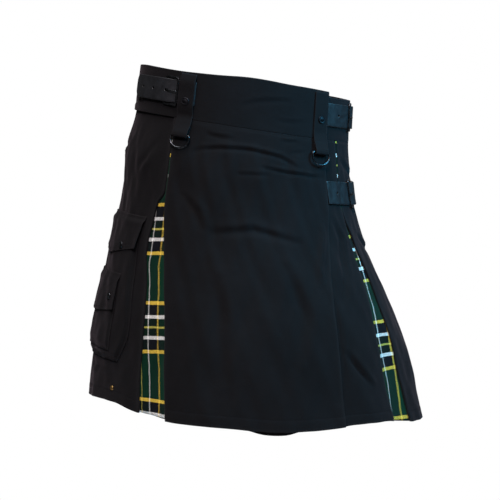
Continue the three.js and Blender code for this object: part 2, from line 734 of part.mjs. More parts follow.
// Plug through the strap round an angle, used to cut the prong's slot and the punched holes.
function plugSolid(spec, degrees, outline) {
  const { low, over, perDegree } = strapPath(spec);
  const levels = { bottom: low - 6, top: over + 8 };
  const at = ({ u, v }, out) => bodyPoint(degrees + u / perDegree, spec.drop + v, out);
  const points = [
    ...outline.map((p) => at(p, levels.top)), ...outline.map((p) => at(p, levels.bottom)),
  ];
  const count = outline.length;
  const faces = [];
  for (let i = 1; i < count - 1; i += 1) {
    faces.push([0, i, i + 1], [count, count + i + 1, count + i]);
  }
  for (let i = 0; i < count; i += 1) {
    const next = (i + 1) % count;
    addQuad(faces, i, count + i, count + next, next);
  }
  return toManifold(solid(points, faces));
}

function boxOutline(width, height) {
  return [[-1, -1], [1, -1], [1, 1], [-1, 1]].map(([x, y]) => ({ u: (x * width) / 2, v: (y * height) / 2 }));
}

function roundOutline(radius) {
  return steps(0, 315, 7).map((angle) => ({ u: radius * Math.cos(rad(angle)), v: radius * Math.sin(rad(angle)) }));
}

function buildStrap(spec) {
  const { side, far, mid, low, over, perDegree, slotFrom, slotTo } = strapPath(spec);
  const slotMid = (slotFrom + slotTo) / 2;
  const slotLength = Math.abs(slotTo - slotFrom) * perDegree;
  let leather = toManifold(strapSolid(spec))
    .subtract(plugSolid(spec, slotMid, boxOutline(slotLength, prong.width + 2 * prong.play)));
  for (const number of spec.holes) {
    const degrees = slotMid + (side * number * strap.holeSpacing) / perDegree;
    leather = leather.subtract(plugSolid(spec, degrees, roundOutline(strap.holeRadius)));
  }
  add(`strap_${spec.name}`, fromManifold(leather), blackLeather);

  const frameShape = roundedOutline(buckle.length, buckle.height, buckle.corner);
  frameShape.holes.push(roundedOutline(
    buckle.length - 2 * buckle.bar, buckle.height - 2 * buckle.bar, buckle.innerCorner,
  ));
  const frame = new THREE.ExtrudeGeometry(frameShape, {
    depth: buckle.thickness, bevelEnabled: false, curveSegments: 3,
  });
  const middle = (low + over) / 2 - buckle.thickness / 2;
  const rise = (over - low) / (far - spec.near) / perDegree;
  add(`buckle_${spec.name}`, layOn({ degrees: mid, drop: spec.drop }, frame, (u) => middle - u * rise), darkMetal);

  // from the far bar up through the slot to the top of the near bar
  const top = over + strap.wall / 2 + layerGap + prong.thickness / 2;
  const farIn = far - (side * (buckle.bar / 2 + seamGap)) / perDegree;
  const prongDrops = [spec.drop - prong.width / 2, spec.drop + prong.width / 2];
  add(`prong_${spec.name}`, bandAlong([
    { degrees: farIn, out: low },
    { degrees: farIn - (side * 3.2) / perDegree, out: low + 0.5 },
    { degrees: slotFrom + (side * 1.4) / perDegree, out: over + 1.6 },
    { degrees: mid, out: top },
    { degrees: spec.near - (side * 1.2) / perDegree, out: top },
  ].map((station) => ({ ...station, drops: prongDrops })), prong.thickness), darkMetal);
}

// Chape: the short leather piece sewn on the cloth that holds the buckle's far bar.
function buildChape(spec) {
  const { side, far, low, perDegree } = strapPath(spec);
  const out = low - strap.wall / 2 + chape.wall / 2;
  const from = far + (side * (buckle.bar / 2 + seamGap)) / perDegree;
  const drops = steps(spec.drop - chape.width / 2, spec.drop + chape.width / 2, 2);
  const stations = steps(from, from + (side * chape.length) / perDegree, 4)
    .map((degrees) => ({ degrees, out, drops }));
  add(`chape_${spec.name}`, bandAlong(stations, chape.wall), blackLeather);
}

// Cargo pocket on the wearer's right side, and the small pocket on its rear half. depth is how
// far the bag stands off, lip the width of its rounded edge and closing the height in which it
// comes back to the cloth at its bottom. The flap ends in a point that hangs below its corners.
const cargo = {
  top: 264, bottom: 508, depth: 6, lip: 9, columns: 12,
  front: [{ drop: 250, degrees: -49.5 }, { drop: 308, degrees: -52.6 }, { drop: 340, degrees: -52.4 },
    { drop: 430, degrees: -50.9 }, { drop: 460, degrees: -51.6 }, { drop: 488, degrees: -54 },
    { drop: 520, degrees: -57 }],
  back: [{ drop: 250, degrees: -100 }, { drop: 520, degrees: -103 }],
  flap: {
    front: [{ drop: 252, degrees: -48.2 }, { drop: 308, degrees: -51.9 }], back: -101.5,
    top: 252, low: 308, point: 18,
  },
};
const small = {
  top: 370, bottom: 488, depth: 3, lip: 6, columns: 8,
  front: [{ drop: 345, degrees: -60.9 }, { drop: 500, degrees: -60 }],
  back: [{ drop: 345, degrees: -95 }, { drop: 500, degrees: -96 }],
  flap: {
    front: [{ drop: 356, degrees: -60 }, { drop: 418, degrees: -60 }], back: -96.2,
    top: 356, low: 418, point: 10,
  },
};
const closing = 16;
const flapRise = 4;
const cargoStud = { degrees: -62.5, drop: 307, radius: 6, height: 2.4 };
const smallStud = { degrees: -64, drop: 396, radius: 5.5, height: 2.2 };
const brassRivet = { degrees: -57.7, drop: 562, radius: 4.6, height: 2 };

// Soft bag: sewn flat round three sides, standing off by its depth and open at the top.
function bagSolid(bag, base) {
  const clear = 8;
  const standEnd = bag.bottom - closing;
  const bends = rowDrops.filter((drop) => drop > bag.top + clear && drop < standEnd - clear);
  const drops = [bag.top, ...bends, standEnd, bag.bottom - closing / 2, bag.bottom - closing / 6, bag.bottom];
  const edge = [0, 2.5, bag.lip * 0.62, bag.lip];
  return clothWallSolid({
    drops,
    path: (drop) => {
      const front = readStraight(bag.front, 'degrees', drop);
      const back = readStraight(bag.back, 'degrees', drop);
      const width = (front - back) * ringAt(drop).perDegree;
      const standing = 1 - THREE.MathUtils.smoothstep(drop, standEnd, bag.bottom);
      const alongs = [...edge, ...steps(bag.lip, width - bag.lip, bag.columns).slice(1, -1),
        ...edge.map((e) => width - e).reverse()];
      return alongs.map((along) => {
        const lift = THREE.MathUtils.smoothstep(Math.min(along, width - along), 1.5, bag.lip);
        return { degrees: back, along, out: base + bag.depth * standing * lift };
      });
    },
  });
}

// Flap: sewn above the bag's mouth, lies over the bag's face and ends in a shallow point.
function flapSolid(bag, base, face) {
  const { front, back, top, low, point } = bag.flap;
  const bends = rowDrops.filter((drop) => drop > bag.top + flapRise && drop < low - flapRise);
  const rows = [
    { drop: top, out: base }, { drop: top + flapRise, out: base }, { drop: bag.top - flapRise, out: face },
    ...bends.map((drop) => ({ drop, out: face })), { drop: low, out: face, pointed: point },
  ];
  const dropFor = (row, share) => row.drop + (row.pointed ?? 0) * (1 - Math.abs(2 * share - 1));
  const side = (shift) => rows.map((row) => steps(0, 1, 13).map((share) => {
    const degrees = THREE.MathUtils.lerp(back, readStraight(front, 'degrees', row.drop), share);
    return bodyPoint(degrees, dropFor(row, share), row.out + shift);
  }));
  return shell(side(clothWall / 2), side(-clothWall / 2));
}

// Adds a bag, its flap and stud on the surface at face, and returns the bag's own surface.
function buildPocket(name, bag, face, stud) {
  const base = face + layerGap + clothWall / 2;
  const bagFace = base + bag.depth + clothWall / 2;
  const flapOut = bagFace + layerGap + clothWall / 2;
  const flapFace = flapOut + clothWall / 2;
  add(`${name}_pocket`, bagSolid(bag, base), blackCloth);
  add(`${name}_flap`, flapSolid(bag, base, flapOut), blackCloth);
  add(`${name}_stud`, capSolid(stud, stud.radius, stud.height, flapFace + seamGap), darkMetal);
  return bagFace;
}

function buildPockets() {
  const cargoFace = buildPocket('cargo', cargo, panelFace, cargoStud);
  buildPocket('small', small, cargoFace, smallStud);
  add('brass_rivet', capSolid(brassRivet, brassRivet.radius, brassRivet.height, panelFace + seamGap), brassMetal);
}

buildWaistband();
buildAprons();
buildPanels();
buildInserts();
buildLoopsAndRings();
straps.forEach((spec) => {
  buildStrap(spec);
  buildChape(spec);
});
buildPockets();

export default kilt;
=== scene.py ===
import math
import bmesh
import bpy
import numpy as np
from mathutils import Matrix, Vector


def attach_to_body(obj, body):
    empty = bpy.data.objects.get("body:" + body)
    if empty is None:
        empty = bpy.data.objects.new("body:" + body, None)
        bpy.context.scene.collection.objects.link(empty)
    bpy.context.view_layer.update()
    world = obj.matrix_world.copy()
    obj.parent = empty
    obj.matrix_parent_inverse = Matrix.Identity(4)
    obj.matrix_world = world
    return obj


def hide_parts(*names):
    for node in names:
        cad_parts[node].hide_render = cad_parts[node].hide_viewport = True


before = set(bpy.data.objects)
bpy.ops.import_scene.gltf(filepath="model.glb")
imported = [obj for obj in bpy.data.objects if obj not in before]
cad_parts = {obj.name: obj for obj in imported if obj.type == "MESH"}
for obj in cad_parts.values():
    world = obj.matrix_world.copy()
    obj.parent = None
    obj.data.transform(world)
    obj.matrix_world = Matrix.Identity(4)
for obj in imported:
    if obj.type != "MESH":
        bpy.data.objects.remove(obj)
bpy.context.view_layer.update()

mm = 0.001
scene = bpy.context.scene
print("frame loaded, nodes:", len(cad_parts))

# Camera, where the photograph was taken from
cameraView = {"distance": 3.0, "side": 0.00625, "tiltDown": 5.7377, "lens": 120.4, "sensor": 36.0}
cameraData = bpy.data.cameras.new("photoCamera")
cameraData.lens = cameraView["lens"]
cameraData.sensor_width = cameraView["sensor"]
cameraData.clip_end = 60
cameraObject = bpy.data.objects.new("photoCamera", cameraData)
cameraObject.location = (cameraView["side"], -cameraView["distance"], 0)
cameraObject.rotation_euler = (math.radians(90 - cameraView["tiltDown"]), 0, 0)
scene.collection.objects.link(cameraObject)
scene.camera = cameraObject

# The garment's own shape, in millimetres, the same as the solids have it
garment = {
    "hemDrop": 589.0, "bandHeight": 78.0, "seamGap": 0.3, "layerGap": 0.5, "clothWall": 1.6,
    "waistDepth": 0.74, "hemDepth": 0.70,
    "panelOut": -0.8, "insertOut": -5.9, "apronOut": 3.8, "apronReturnOut": 1.7,
    "bandOut": 2.6, "bandInsideOut": -0.9, "bandWall": 2.6,
    "pleatReturn": 25.0, "foldRadius": 1.4,
}
bodyRings = {
    "drop": [0, 86, 149, 202, 265, 347, 447, 530, 604],
    "centre": [0, -8, -15, -13, -9, 2, 10.5, 13, 16],
    "halfWidth": [185, 190, 201, 207.5, 221, 246, 274.5, 290, 302],
    "lean": [0.154, 0.15, 0.131, 0.127, 0.112, 0.101, 0.086, 0.073, 0.058],
}
# the hem isn't level: its lift round the body, and the share of it that each drop takes
hemLift = {"drop": [-180, -120, -100, -80, -55, -44, -30, -10, 5, 15, 27, 35, 50, 62, 75, 180],
           "lift": [6, 6, 8, 14, 18, 9, 2, 2, 0, 3, 8, 14, 17, 9, 6, 6]}
liftShare = {"drop": [485, 540, 604], "share": [0, 0.5, 1.08]}
# degrees, spread, out, from, to
softFolds = [
    (43, 9, 5, 330, 560), (55, 8, -3, 330, 520), (29, 8, -3, 300, 470), (-20, 8, 4, 380, 600),
    (8, 10, 3, 420, 600), (84, 9, 5, 300, 560), (-84, 10, 3, 380, 600), (129, 9, 6, 300, 560),
    (-129, 9, 6, 300, 560), (163, 9, 5, 300, 560), (-163, 9, 5, 300, 560),
]
apronLeft = {"drop": [78, 150, 202, 240, 300, 350, 400, 470, 604],
             "degrees": [-37.5, -34.2, -36, -36.5, -35.9, -34.8, -33.7, -32.4, -30.2]}
apronFree = {"drop": [78, 150, 205, 251, 341, 444, 604],
             "degrees": [49.3, 48.5, 46.8, 44.1, 36.2, 32.7, 30.5]}
underEdge = {"drop": [78, 200, 264, 320, 397, 456, 604],
             "degrees": [59.5, 61.2, 61, 59.5, 56.2, 54.2, 54.5]}
pleatGap = {"drop": [78, 196, 222, 300, 450, 604], "width": [2.3, 2.3, 26, 40, 44, 52]}
rightGap = {"drop": [196, 222, 252, 290, 314, 391, 450, 604],
            "degrees": [-36.6, -41.9, -44.5, -46.5, -46.9, -45, -43.8, -42.8]}
leftGap = {"drop": [205, 254, 320, 400, 480, 604], "degrees": [62, 66, 68, 66.5, 65.5, 68.5]}
backPleats = [-111, -147, 180, 147, 111]


def smoothTable(table, column):
    # a smooth curve through the table's rows
    x, y = np.array(table["drop"], float), np.array(table[column], float)
    slope = np.empty_like(y)
    slope[1:-1] = (y[2:] - y[:-2]) / (x[2:] - x[:-2])
    slope[0], slope[-1] = (y[1] - y[0]) / (x[1] - x[0]), (y[-1] - y[-2]) / (x[-1] - x[-2])

    def read(drop):
        d = np.clip(np.asarray(drop, float), x[0], x[-1])
        i = np.clip(np.searchsorted(x, d, side="right") - 1, 0, len(x) - 2)
        span = x[i + 1] - x[i]
        t = (d - x[i]) / span
        h = (1 - t) ** 2
        return (h * (1 + 2 * t) * y[i] + h * t * span * slope[i]
                + t * t * (3 - 2 * t) * y[i + 1] - t * t * (1 - t) * span * slope[i + 1])
    return read


def smoothStep(x, low, high):
    t = np.clip((np.asarray(x, float) - low) / (high - low), 0, 1)
    return t * t * (3 - 2 * t)


readHalfWidth = smoothTable(bodyRings, "halfWidth")
readCentre = smoothTable(bodyRings, "centre")
readLean = smoothTable(bodyRings, "lean")
apronLeftAt = smoothTable(apronLeft, "degrees")
apronFreeAt = smoothTable(apronFree, "degrees")
hemLiftAt = smoothTable(hemLift, "lift")
underEdgeAt = smoothTable(underEdge, "degrees")


def halfDepthAt(drop):
    share = np.clip(np.asarray(drop, float) / garment["hemDrop"], 0, 1)
    ratio = garment["waistDepth"] + (garment["hemDepth"] - garment["waistDepth"]) * share
    return readHalfWidth(drop) * ratio


def perDegreeAt(drop):
    # millimetres round the body for one degree
    return float(math.pi * (readHalfWidth(drop) + halfDepthAt(drop)) / 360)


def turnBetween(a, b):
    return (a - b + 180) % 360 - 180


# Creases that the photograph shows, and similar ones on the hidden sides. Each is a short curve of
# (degrees, drop) points with its width and depth in millimetres; a negative depth is a trough.
# They bend every layer alike.
creasesSeen = [
    ([(-24.8, 131), (-18, 122), (-9, 116.5), (-1, 114), (5, 113), (12.5, 115), (21, 119), (26, 126),
      (30.2, 133)], 3.2, -3.4),
    ([(-17.8, 97), (-10.8, 99), (-3, 98)], 3.6, -1.8),
    ([(10.5, 139), (17, 141.5), (24.2, 144), (34, 144.5), (38.8, 146), (48, 144)], 3.0, -3.2),
    ([(-0.8, 157), (6, 154), (16.5, 151)], 3.0, -1.5),
    ([(-2.2, 41), (5, 31), (12.8, 25), (19.5, 22), (26.5, 20)], 3.2, -1.9),
    ([(16, 57.5), (24.8, 56), (35, 52)], 2.6, -1.5),
    ([(20, 91.5), (30, 87.5)], 2.6, -1.3),
    ([(25.5, 108.5), (35.2, 103.5)], 2.6, -1.3),
    ([(-14, 264), (6, 249), (29, 266)], 6.8, -2.8),
    ([(-28, 200), (-20, 230), (-17, 262)], 6.8, -2.5),
    ([(36, 446), (39, 470), (46, 516)], 5.1, -5.7),
    ([(37, 352), (35.6, 385), (34.2, 440), (33, 520)], 4.2, -4.2),
    ([(50, 212), (54, 252), (47, 322), (40, 372)], 6.0, -4.6),
    ([(42, 225), (39, 262), (34, 300), (30.5, 340)], 6.0, 3.4),
    ([(18, 300), (20, 380), (17, 470)], 11.9, -3.8),
    ([(-10, 330), (-12, 420), (-9, 520)], 11.0, -3.4),
    ([(-46, 120), (-52, 150), (-60, 175)], 5.1, -3.4),
    ([(-70, 110), (-84, 138), (-98, 150)], 5.1, -3.4),
    ([(64, 110), (78, 132), (96, 142)], 5.1, -3.0),
    ([(72, 240), (84, 270), (98, 282)], 6.0, -3.4),
    ([(118, 120), (132, 138), (150, 134)], 5.1, -3.0),
    ([(-120, 122), (-136, 140), (-152, 130)], 5.1, -3.2),
    ([(156, 110), (168, 126), (178, 122)], 4.2, -2.7),
    ([(-158, 240), (-166, 300), (-160, 380)], 8.5, -3.4),
    ([(160, 260), (166, 330), (158, 420)], 8.5, -3.4),
    ([(122, 300), (128, 380), (124, 470)], 9.3, -3.6),
    ([(-122, 290), (-130, 360), (-126, 460)], 9.3, -3.6),
    ([(-62, 520), (-72, 530), (-84, 526)], 6.0, -2.7),
    ([(60, 40), (72, 33), (90, 38)], 3.4, -1.3),
    ([(-60, 66), (-76, 60), (-92, 66)], 3.4, -1.5),
    ([(140, 26), (156, 34), (172, 28)], 3.4, -1.5),
    ([(-140, 40), (-156, 30), (-172, 36)], 3.4, -1.5),
]
# the ridge beside a trough, as shares of the crease's own depth and width
creaseRidge = {"height": 0.6, "offset": 1.5, "width": 1.2, "reach": 4, "end": 5}


def creaseOut(degrees, drop):
    total = np.zeros(np.broadcast(degrees, drop).shape)
    for points, width, depth in creasesSeen:
        p = np.array(points, float)
        perDegree = perDegreeAt(p[:, 1].mean())
        near = np.full(total.shape, 1e9)
        side = np.zeros(total.shape)
        along = np.zeros(total.shape)
        u = turnBetween(degrees, p[0, 0]) * perDegree
        v = drop - p[0, 1]
        ku = turnBetween(p[:, 0], p[0, 0]) * perDegree
        kv = p[:, 1] - p[0, 1]
        for i in range(len(p) - 1):
            du, dv = ku[i + 1] - ku[i], kv[i + 1] - kv[i]
            size = du * du + dv * dv
            t = np.clip(((u - ku[i]) * du + (v - kv[i]) * dv) / size, 0, 1)
            gu, gv = u - ku[i] - t * du, v - kv[i] - t * dv
            far = np.hypot(gu, gv)
            closer = far < near
            near = np.where(closer, far, near)
            side = np.where(closer, (gu * dv - gv * du) / math.sqrt(size), side)
            along = np.where(closer, (i + t) / (len(p) - 1), along)
        fade = np.sin(np.pi * np.clip(along, 0, 1)) ** 0.7
        trough = np.exp(-(near / width) ** 2)
        shoulder = np.exp(-((side - width * creaseRidge["offset"]) / (width * creaseRidge["width"])) ** 2)
        shoulder = shoulder * np.exp(-(np.maximum(near - width * creaseRidge["reach"], 0) / width) ** 2)
        shoulder = creaseRidge["height"] * shoulder * (near < width * creaseRidge["end"])
        total = total + depth * fade * (trough - shoulder)
    return total


def foldOut(degrees, drop):
    total = np.zeros(np.broadcast(degrees, drop).shape)
    for centre, spread, out, start, end in softFolds:
        off = turnBetween(degrees, centre) / spread
        total = total + out * np.exp(-off * off) * smoothStep(drop, start, end)
    return total


# Slow unevenness of worn cloth: amplitude in millimetres, waves round and down, phase
unevenness = [(0.75, 0.071, 0.018, 0.4), (0.6, -0.05, 0.031, 1.9), (0.45, 0.13, -0.027, 3.1),
              (0.3, 0.19, 0.052, 5.0), (0.25, -0.23, 0.038, 2.2)]


def unevenOut(degrees, drop):
    total = np.zeros(np.broadcast(degrees, drop).shape)
    for size, round, down, phase in unevenness:
        total = total + size * np.sin(round * degrees * 4.2 + down * drop * 1.6 + phase)
    return total * smoothStep(drop, 76, 130)


# Hard pieces keep the cloth under them calm: degrees, drop, reach in millimetres
calmSpots = [
    (-30.6, 105, 26), (43.6, 101, 26), (-30.6, 48, 14), (43.6, 44, 14),   # D-rings and snaps
    (-42, 34, 26), (79, 34, 26), (75.5, 171, 26),   # buckles
    (-62.5, 307, 12), (-64, 396, 12), (-57.7, 562, 10),   # studs and rivet
]


def calmAt(degrees, drop):
    calm = np.ones(np.broadcast(degrees, drop).shape)
    for d, z, reach in calmSpots:
        far = np.hypot(turnBetween(degrees, d) * perDegreeAt(z), drop - z)
        calm = calm * smoothStep(far, reach * 0.6, reach * 1.5)
    return calm


def bodyPoint(degrees, drop, out, creased=True):
    # a point of the garment in metres: direction round the body, drop from the waist, outward
    degrees, drop, out = np.broadcast_arrays(np.asarray(degrees, float), np.asarray(drop, float),
                                             np.asarray(out, float))
    reach = out + foldOut(degrees, drop)
    if creased:
        reach = reach + (creaseOut(degrees, drop) + unevenOut(degrees, drop)) * calmAt(degrees, drop)
    angle = np.radians(degrees)
    centre = readCentre(drop)
    x = centre + (readHalfWidth(drop) + reach) * np.sin(angle)
    y = -(halfDepthAt(drop) + reach) * np.cos(angle)
    lift = hemLiftAt(turnBetween(degrees, 0)) * np.interp(drop, liftShare["drop"], liftShare["share"])
    z = lift - drop - readLean(drop) * (x - centre)
    return np.stack([x, y, z], -1) * mm


# Materials
def newMaterial(name, slotColour, metallic=0.0, roughness=0.9, specular=0.5):
    material = bpy.data.materials.new(name)
    material.use_nodes = True
    material.diffuse_color = (*slotColour, 1)
    shader = material.node_tree.nodes["Principled BSDF"]
    shader.inputs["Base Color"].default_value = (*slotColour, 1)
    shader.inputs["Metallic"].default_value = metallic
    shader.inputs["Roughness"].default_value = roughness
    shader.inputs["Specular IOR Level"].default_value = specular
    return material, material.node_tree, shader


def mathNode(tree, operation, a, b=None):
    node = tree.nodes.new("ShaderNodeMath")
    node.operation = operation
    for i, value in enumerate((a, b)):
        if value is None:
            continue
        if isinstance(value, (int, float)):
            node.inputs[i].default_value = value
        else:
            tree.links.new(value, node.inputs[i])
    return node.outputs[0]


def clothCoords(tree):
    # threads follow the cloth: U runs across it and V down it, both in metres
    uvNode = tree.nodes.new("ShaderNodeUVMap")
    uvNode.uv_map = "cloth"
    parts = tree.nodes.new("ShaderNodeSeparateXYZ")
    tree.links.new(uvNode.outputs[0], parts.inputs[0])
    return uvNode.outputs[0], parts.outputs[0], parts.outputs[1]


def noiseOf(tree, vector, scale, detail=4.0, roughness=0.55):
    noise = tree.nodes.new("ShaderNodeTexNoise")
    noise.inputs["Scale"].default_value = scale
    noise.inputs["Detail"].default_value = detail
    noise.inputs["Roughness"].default_value = roughness
    tree.links.new(vector, noise.inputs["Vector"])
    return noise.outputs["Fac"]


def mixColour(tree, factor, a, b):
    node = tree.nodes.new("ShaderNodeMix")
    node.data_type = "RGBA"
    for socket, value in ((node.inputs[0], factor), (node.inputs[6], a), (node.inputs[7], b)):
        if isinstance(value, (int, float)):
            socket.default_value = value
        elif isinstance(value, tuple):
            socket.default_value = (*value, 1)
        else:
            tree.links.new(value, socket)
    return node.outputs[2]


def bumpFrom(tree, shader, height, strength, distance, before=None):
    bump = tree.nodes.new("ShaderNodeBump")
    bump.inputs["Strength"].default_value = strength
    bump.inputs["Distance"].default_value = distance
    tree.links.new(height, bump.inputs["Height"])
    if before is not None:
        tree.links.new(before, bump.inputs["Normal"])
    tree.links.new(bump.outputs[0], shader.inputs["Normal"])
    return bump.outputs[0]


def setSheen(shader, weight, roughness, tint=(1.0, 1.0, 1.0)):
    shader.inputs["Sheen Weight"].default_value = weight
    shader.inputs["Sheen Roughness"].default_value = roughness
    shader.inputs["Sheen Tint"].default_value = (*tint, 1)


def remap(tree, value, low, high, toLow=0.0, toHigh=1.0):
    node = tree.nodes.new("ShaderNodeMapRange")
    tree.links.new(value, node.inputs[0])
    for i, number in enumerate((low, high, toLow, toHigh)):
        node.inputs[i + 1].default_value = number
    return node.outputs[0]


twillLook = {"dark": (0.0021, 0.0020, 0.0023), "light": (0.0044, 0.0042, 0.0048),
             "worn": (0.012, 0.0118, 0.0125), "twillPitch": 0.0011, "roughness": 0.85, "specular": 0.12,
             "sheen": (0.04, 0.45, (1.0, 0.80, 0.90))}


def twillMaterial(name, look):
    material, tree, shader = newMaterial(name, look["dark"], roughness=look["roughness"],
                                         specular=look["specular"])
    uv, u, v = clothCoords(tree)
    cloudy = noiseOf(tree, uv, 9.0, 5.0, 0.6)
    fine = noiseOf(tree, uv, 420.0, 3.0, 0.6)
    colour = mixColour(tree, remap(tree, cloudy, 0.3, 0.75), look["dark"], look["light"])
    wear = tree.nodes.new("ShaderNodeAttribute")
    wear.attribute_name = "wear"
    rubbed = mathNode(tree, "MULTIPLY", wear.outputs["Fac"], remap(tree, fine, 0.3, 0.7, 0.3, 1.0))
    colour = mixColour(tree, rubbed, colour, look["worn"])
    tree.links.new(colour, shader.inputs["Base Color"])
    diagonal = mathNode(tree, "ADD", u, v)
    twill = mathNode(tree, "SINE", mathNode(tree, "MULTIPLY", diagonal, 2 * math.pi / look["twillPitch"]))
    height = mathNode(tree, "ADD", mathNode(tree, "MULTIPLY", twill, 0.5),
                      mathNode(tree, "MULTIPLY", fine, 1.6))
    weave = bumpFrom(tree, shader, height, 0.35, 0.0002)
    bumpFrom(tree, shader, noiseOf(tree, uv, 55.0, 4.0, 0.6), 0.25, 0.0022, weave)
    setSheen(shader, *look["sheen"])
    return material


tartanLook = {
    "repeat": 171.0,
    # end of each band in millimetres along the repeat, and its yarn
    "bands": [(3, "yellow"), (21, "black"), (27, "white"), (40.6, "deepGreen"), (43.8, "paleYellow"),
              (57.4, "deepGreen"), (63.4, "white"), (81.4, "black"), (87.4, "yellow"),
              (168, "green"), (171, "yellow")],
    # the columns are narrower than the rows, as the inserts hang in folds
    "columns": [(1.9, "yellow"), (22.6, "black"), (25.2, "white"), (41.1, "deepGreen"),
                (43.3, "paleYellow"), (59.2, "deepGreen"), (61.8, "white"), (82.5, "black"),
                (86.3, "yellow"), (169.1, "green"), (171, "yellow")],
    # "wobble" moves the stripes a little aside, as worn cloth does
    "yarns": {"yellow": (0.80, 0.55, 0.07), "white": (0.80, 0.80, 0.76), "black": (0.003, 0.004, 0.006),
              "deepGreen": (0.001, 0.010, 0.005), "paleYellow": (0.52, 0.47, 0.09),
              "green": (0.001, 0.027, 0.013)},
    "pitch": 0.0014, "wobble": 0.0022, "roughness": 0.9, "specular": 0.08, "sheen": (0.03, 0.5),
}


def tartanRamp(tree, coordinate, look, bands):
    ramp = tree.nodes.new("ShaderNodeValToRGB")
    ramp.color_ramp.interpolation = "CONSTANT"
    start = 0.0
    stops = ramp.color_ramp.elements
    for i, (end, yarn) in enumerate(bands):
        stop = stops[0] if i == 0 else (stops[1] if i == 1 else stops.new(start))
        stop.position = start
        stop.color = (*look["yarns"][yarn], 1)
        start = end / look["repeat"]
    place = mathNode(tree, "FRACT", mathNode(tree, "MULTIPLY", coordinate, 1 / (look["repeat"] * mm)))
    tree.links.new(place, ramp.inputs[0])
    return ramp.outputs[0]


def tartanMaterial(name, look):
    material, tree, shader = newMaterial(name, look["yarns"]["green"], roughness=look["roughness"],
                                         specular=look["specular"])
    uv, u, v = clothCoords(tree)
    wobble = mathNode(tree, "SUBTRACT", noiseOf(tree, uv, 60.0, 2.0), 0.5)
    wobble = mathNode(tree, "MULTIPLY", wobble, look["wobble"])
    warp = tartanRamp(tree, mathNode(tree, "ADD", u, wobble), look, look["columns"])
    weft = tartanRamp(tree, mathNode(tree, "ADD", v, wobble), look, look["bands"])
    diagonal = mathNode(tree, "SINE", mathNode(
        tree, "MULTIPLY", mathNode(tree, "ADD", u, v), 2 * math.pi / look["pitch"]))
    over = remap(tree, diagonal, -0.85, -0.1)
    yarn = mixColour(tree, over, warp, weft)
    fuzz = remap(tree, noiseOf(tree, uv, 700.0, 3.0), 0.25, 0.75, 0.72, 1.2)
    shade = tree.nodes.new("ShaderNodeMix")
    shade.data_type = "RGBA"
    shade.blend_type = "MULTIPLY"
    shade.inputs[0].default_value = 1.0
    tree.links.new(yarn, shade.inputs[6])
    grey = tree.nodes.new("ShaderNodeCombineColor")
    for i in range(3):
        tree.links.new(fuzz, grey.inputs[i])
    tree.links.new(grey.outputs[0], shade.inputs[7])
    tree.links.new(shade.outputs[2], shader.inputs["Base Color"])
    height = mathNode(tree, "ADD", diagonal, noiseOf(tree, uv, 900.0, 2.0))
    bumpFrom(tree, shader, height, 0.4, 0.00025)
    setSheen(shader, *look["sheen"])
    return material


leatherLook = {"dark": (0.0050, 0.0054, 0.0066), "light": (0.0115, 0.0125, 0.0150),
               "roughness": (0.38, 0.55), "specular": 0.36, "grain": 750.0}


def leatherMaterial(name, look):
    material, tree, shader = newMaterial(name, look["dark"], specular=look["specular"])
    coords = tree.nodes.new("ShaderNodeTexCoord").outputs["Object"]
    cloudy = noiseOf(tree, coords, 60.0, 4.0)
    colour = mixColour(tree, remap(tree, cloudy, 0.3, 0.7), look["dark"], look["light"])
    tree.links.new(colour, shader.inputs["Base Color"])
    tree.links.new(remap(tree, noiseOf(tree, coords, 140.0, 3.0), 0.3, 0.7, *look["roughness"]),
                   shader.inputs["Roughness"])
    grain = tree.nodes.new("ShaderNodeTexVoronoi")
    grain.inputs["Scale"].default_value = look["grain"]
    tree.links.new(coords, grain.inputs["Vector"])
    first = bumpFrom(tree, shader, grain.outputs["Distance"], 0.3, 0.00025)
    bumpFrom(tree, shader, noiseOf(tree, coords, 90.0, 5.0), 0.2, 0.0008, first)
    return material


def metalMaterial(name, dark, light, roughness):
    material, tree, shader = newMaterial(name, dark, metallic=1.0)
    coords = tree.nodes.new("ShaderNodeTexCoord").outputs["Object"]
    patina = remap(tree, noiseOf(tree, coords, 160.0, 5.0), 0.35, 0.7)
    tree.links.new(mixColour(tree, patina, light, dark), shader.inputs["Base Color"])
    tree.links.new(remap(tree, noiseOf(tree, coords, 420.0, 4.0), 0.3, 0.7, *roughness),
                   shader.inputs["Roughness"])
    bumpFrom(tree, shader, noiseOf(tree, coords, 1100.0, 3.0), 0.15, 0.0001)
    return material


def threadMaterial(name, colour):
    material, tree, shader = newMaterial(name, colour, roughness=0.8, specular=0.1)
    coords = tree.nodes.new("ShaderNodeTexCoord").outputs["Object"]
    shadeFactor = remap(tree, noiseOf(tree, coords, 2500.0, 2.0), 0.3, 0.7)
    light = tuple(min(1.0, c * 1.9) for c in colour)
    tree.links.new(mixColour(tree, shadeFactor, colour, light), shader.inputs["Base Color"])
    return material


blackTwill = twillMaterial("blackTwill", twillLook)
tartanCloth = tartanMaterial("tartanCloth", tartanLook)
blackLeather = leatherMaterial("blackLeather", leatherLook)
darkSteel = metalMaterial("darkSteel", (0.020, 0.021, 0.024), (0.075, 0.078, 0.085), (0.20, 0.36))
mattSteel = metalMaterial("mattSteel", (0.008, 0.008, 0.009), (0.022, 0.022, 0.025), (0.44, 0.6))
oldBrass = metalMaterial("oldBrass", (0.20, 0.11, 0.035), (0.52, 0.33, 0.12), (0.28, 0.48))
blackThread = threadMaterial("blackThread", (0.0030, 0.0028, 0.0034))
print("materials made")


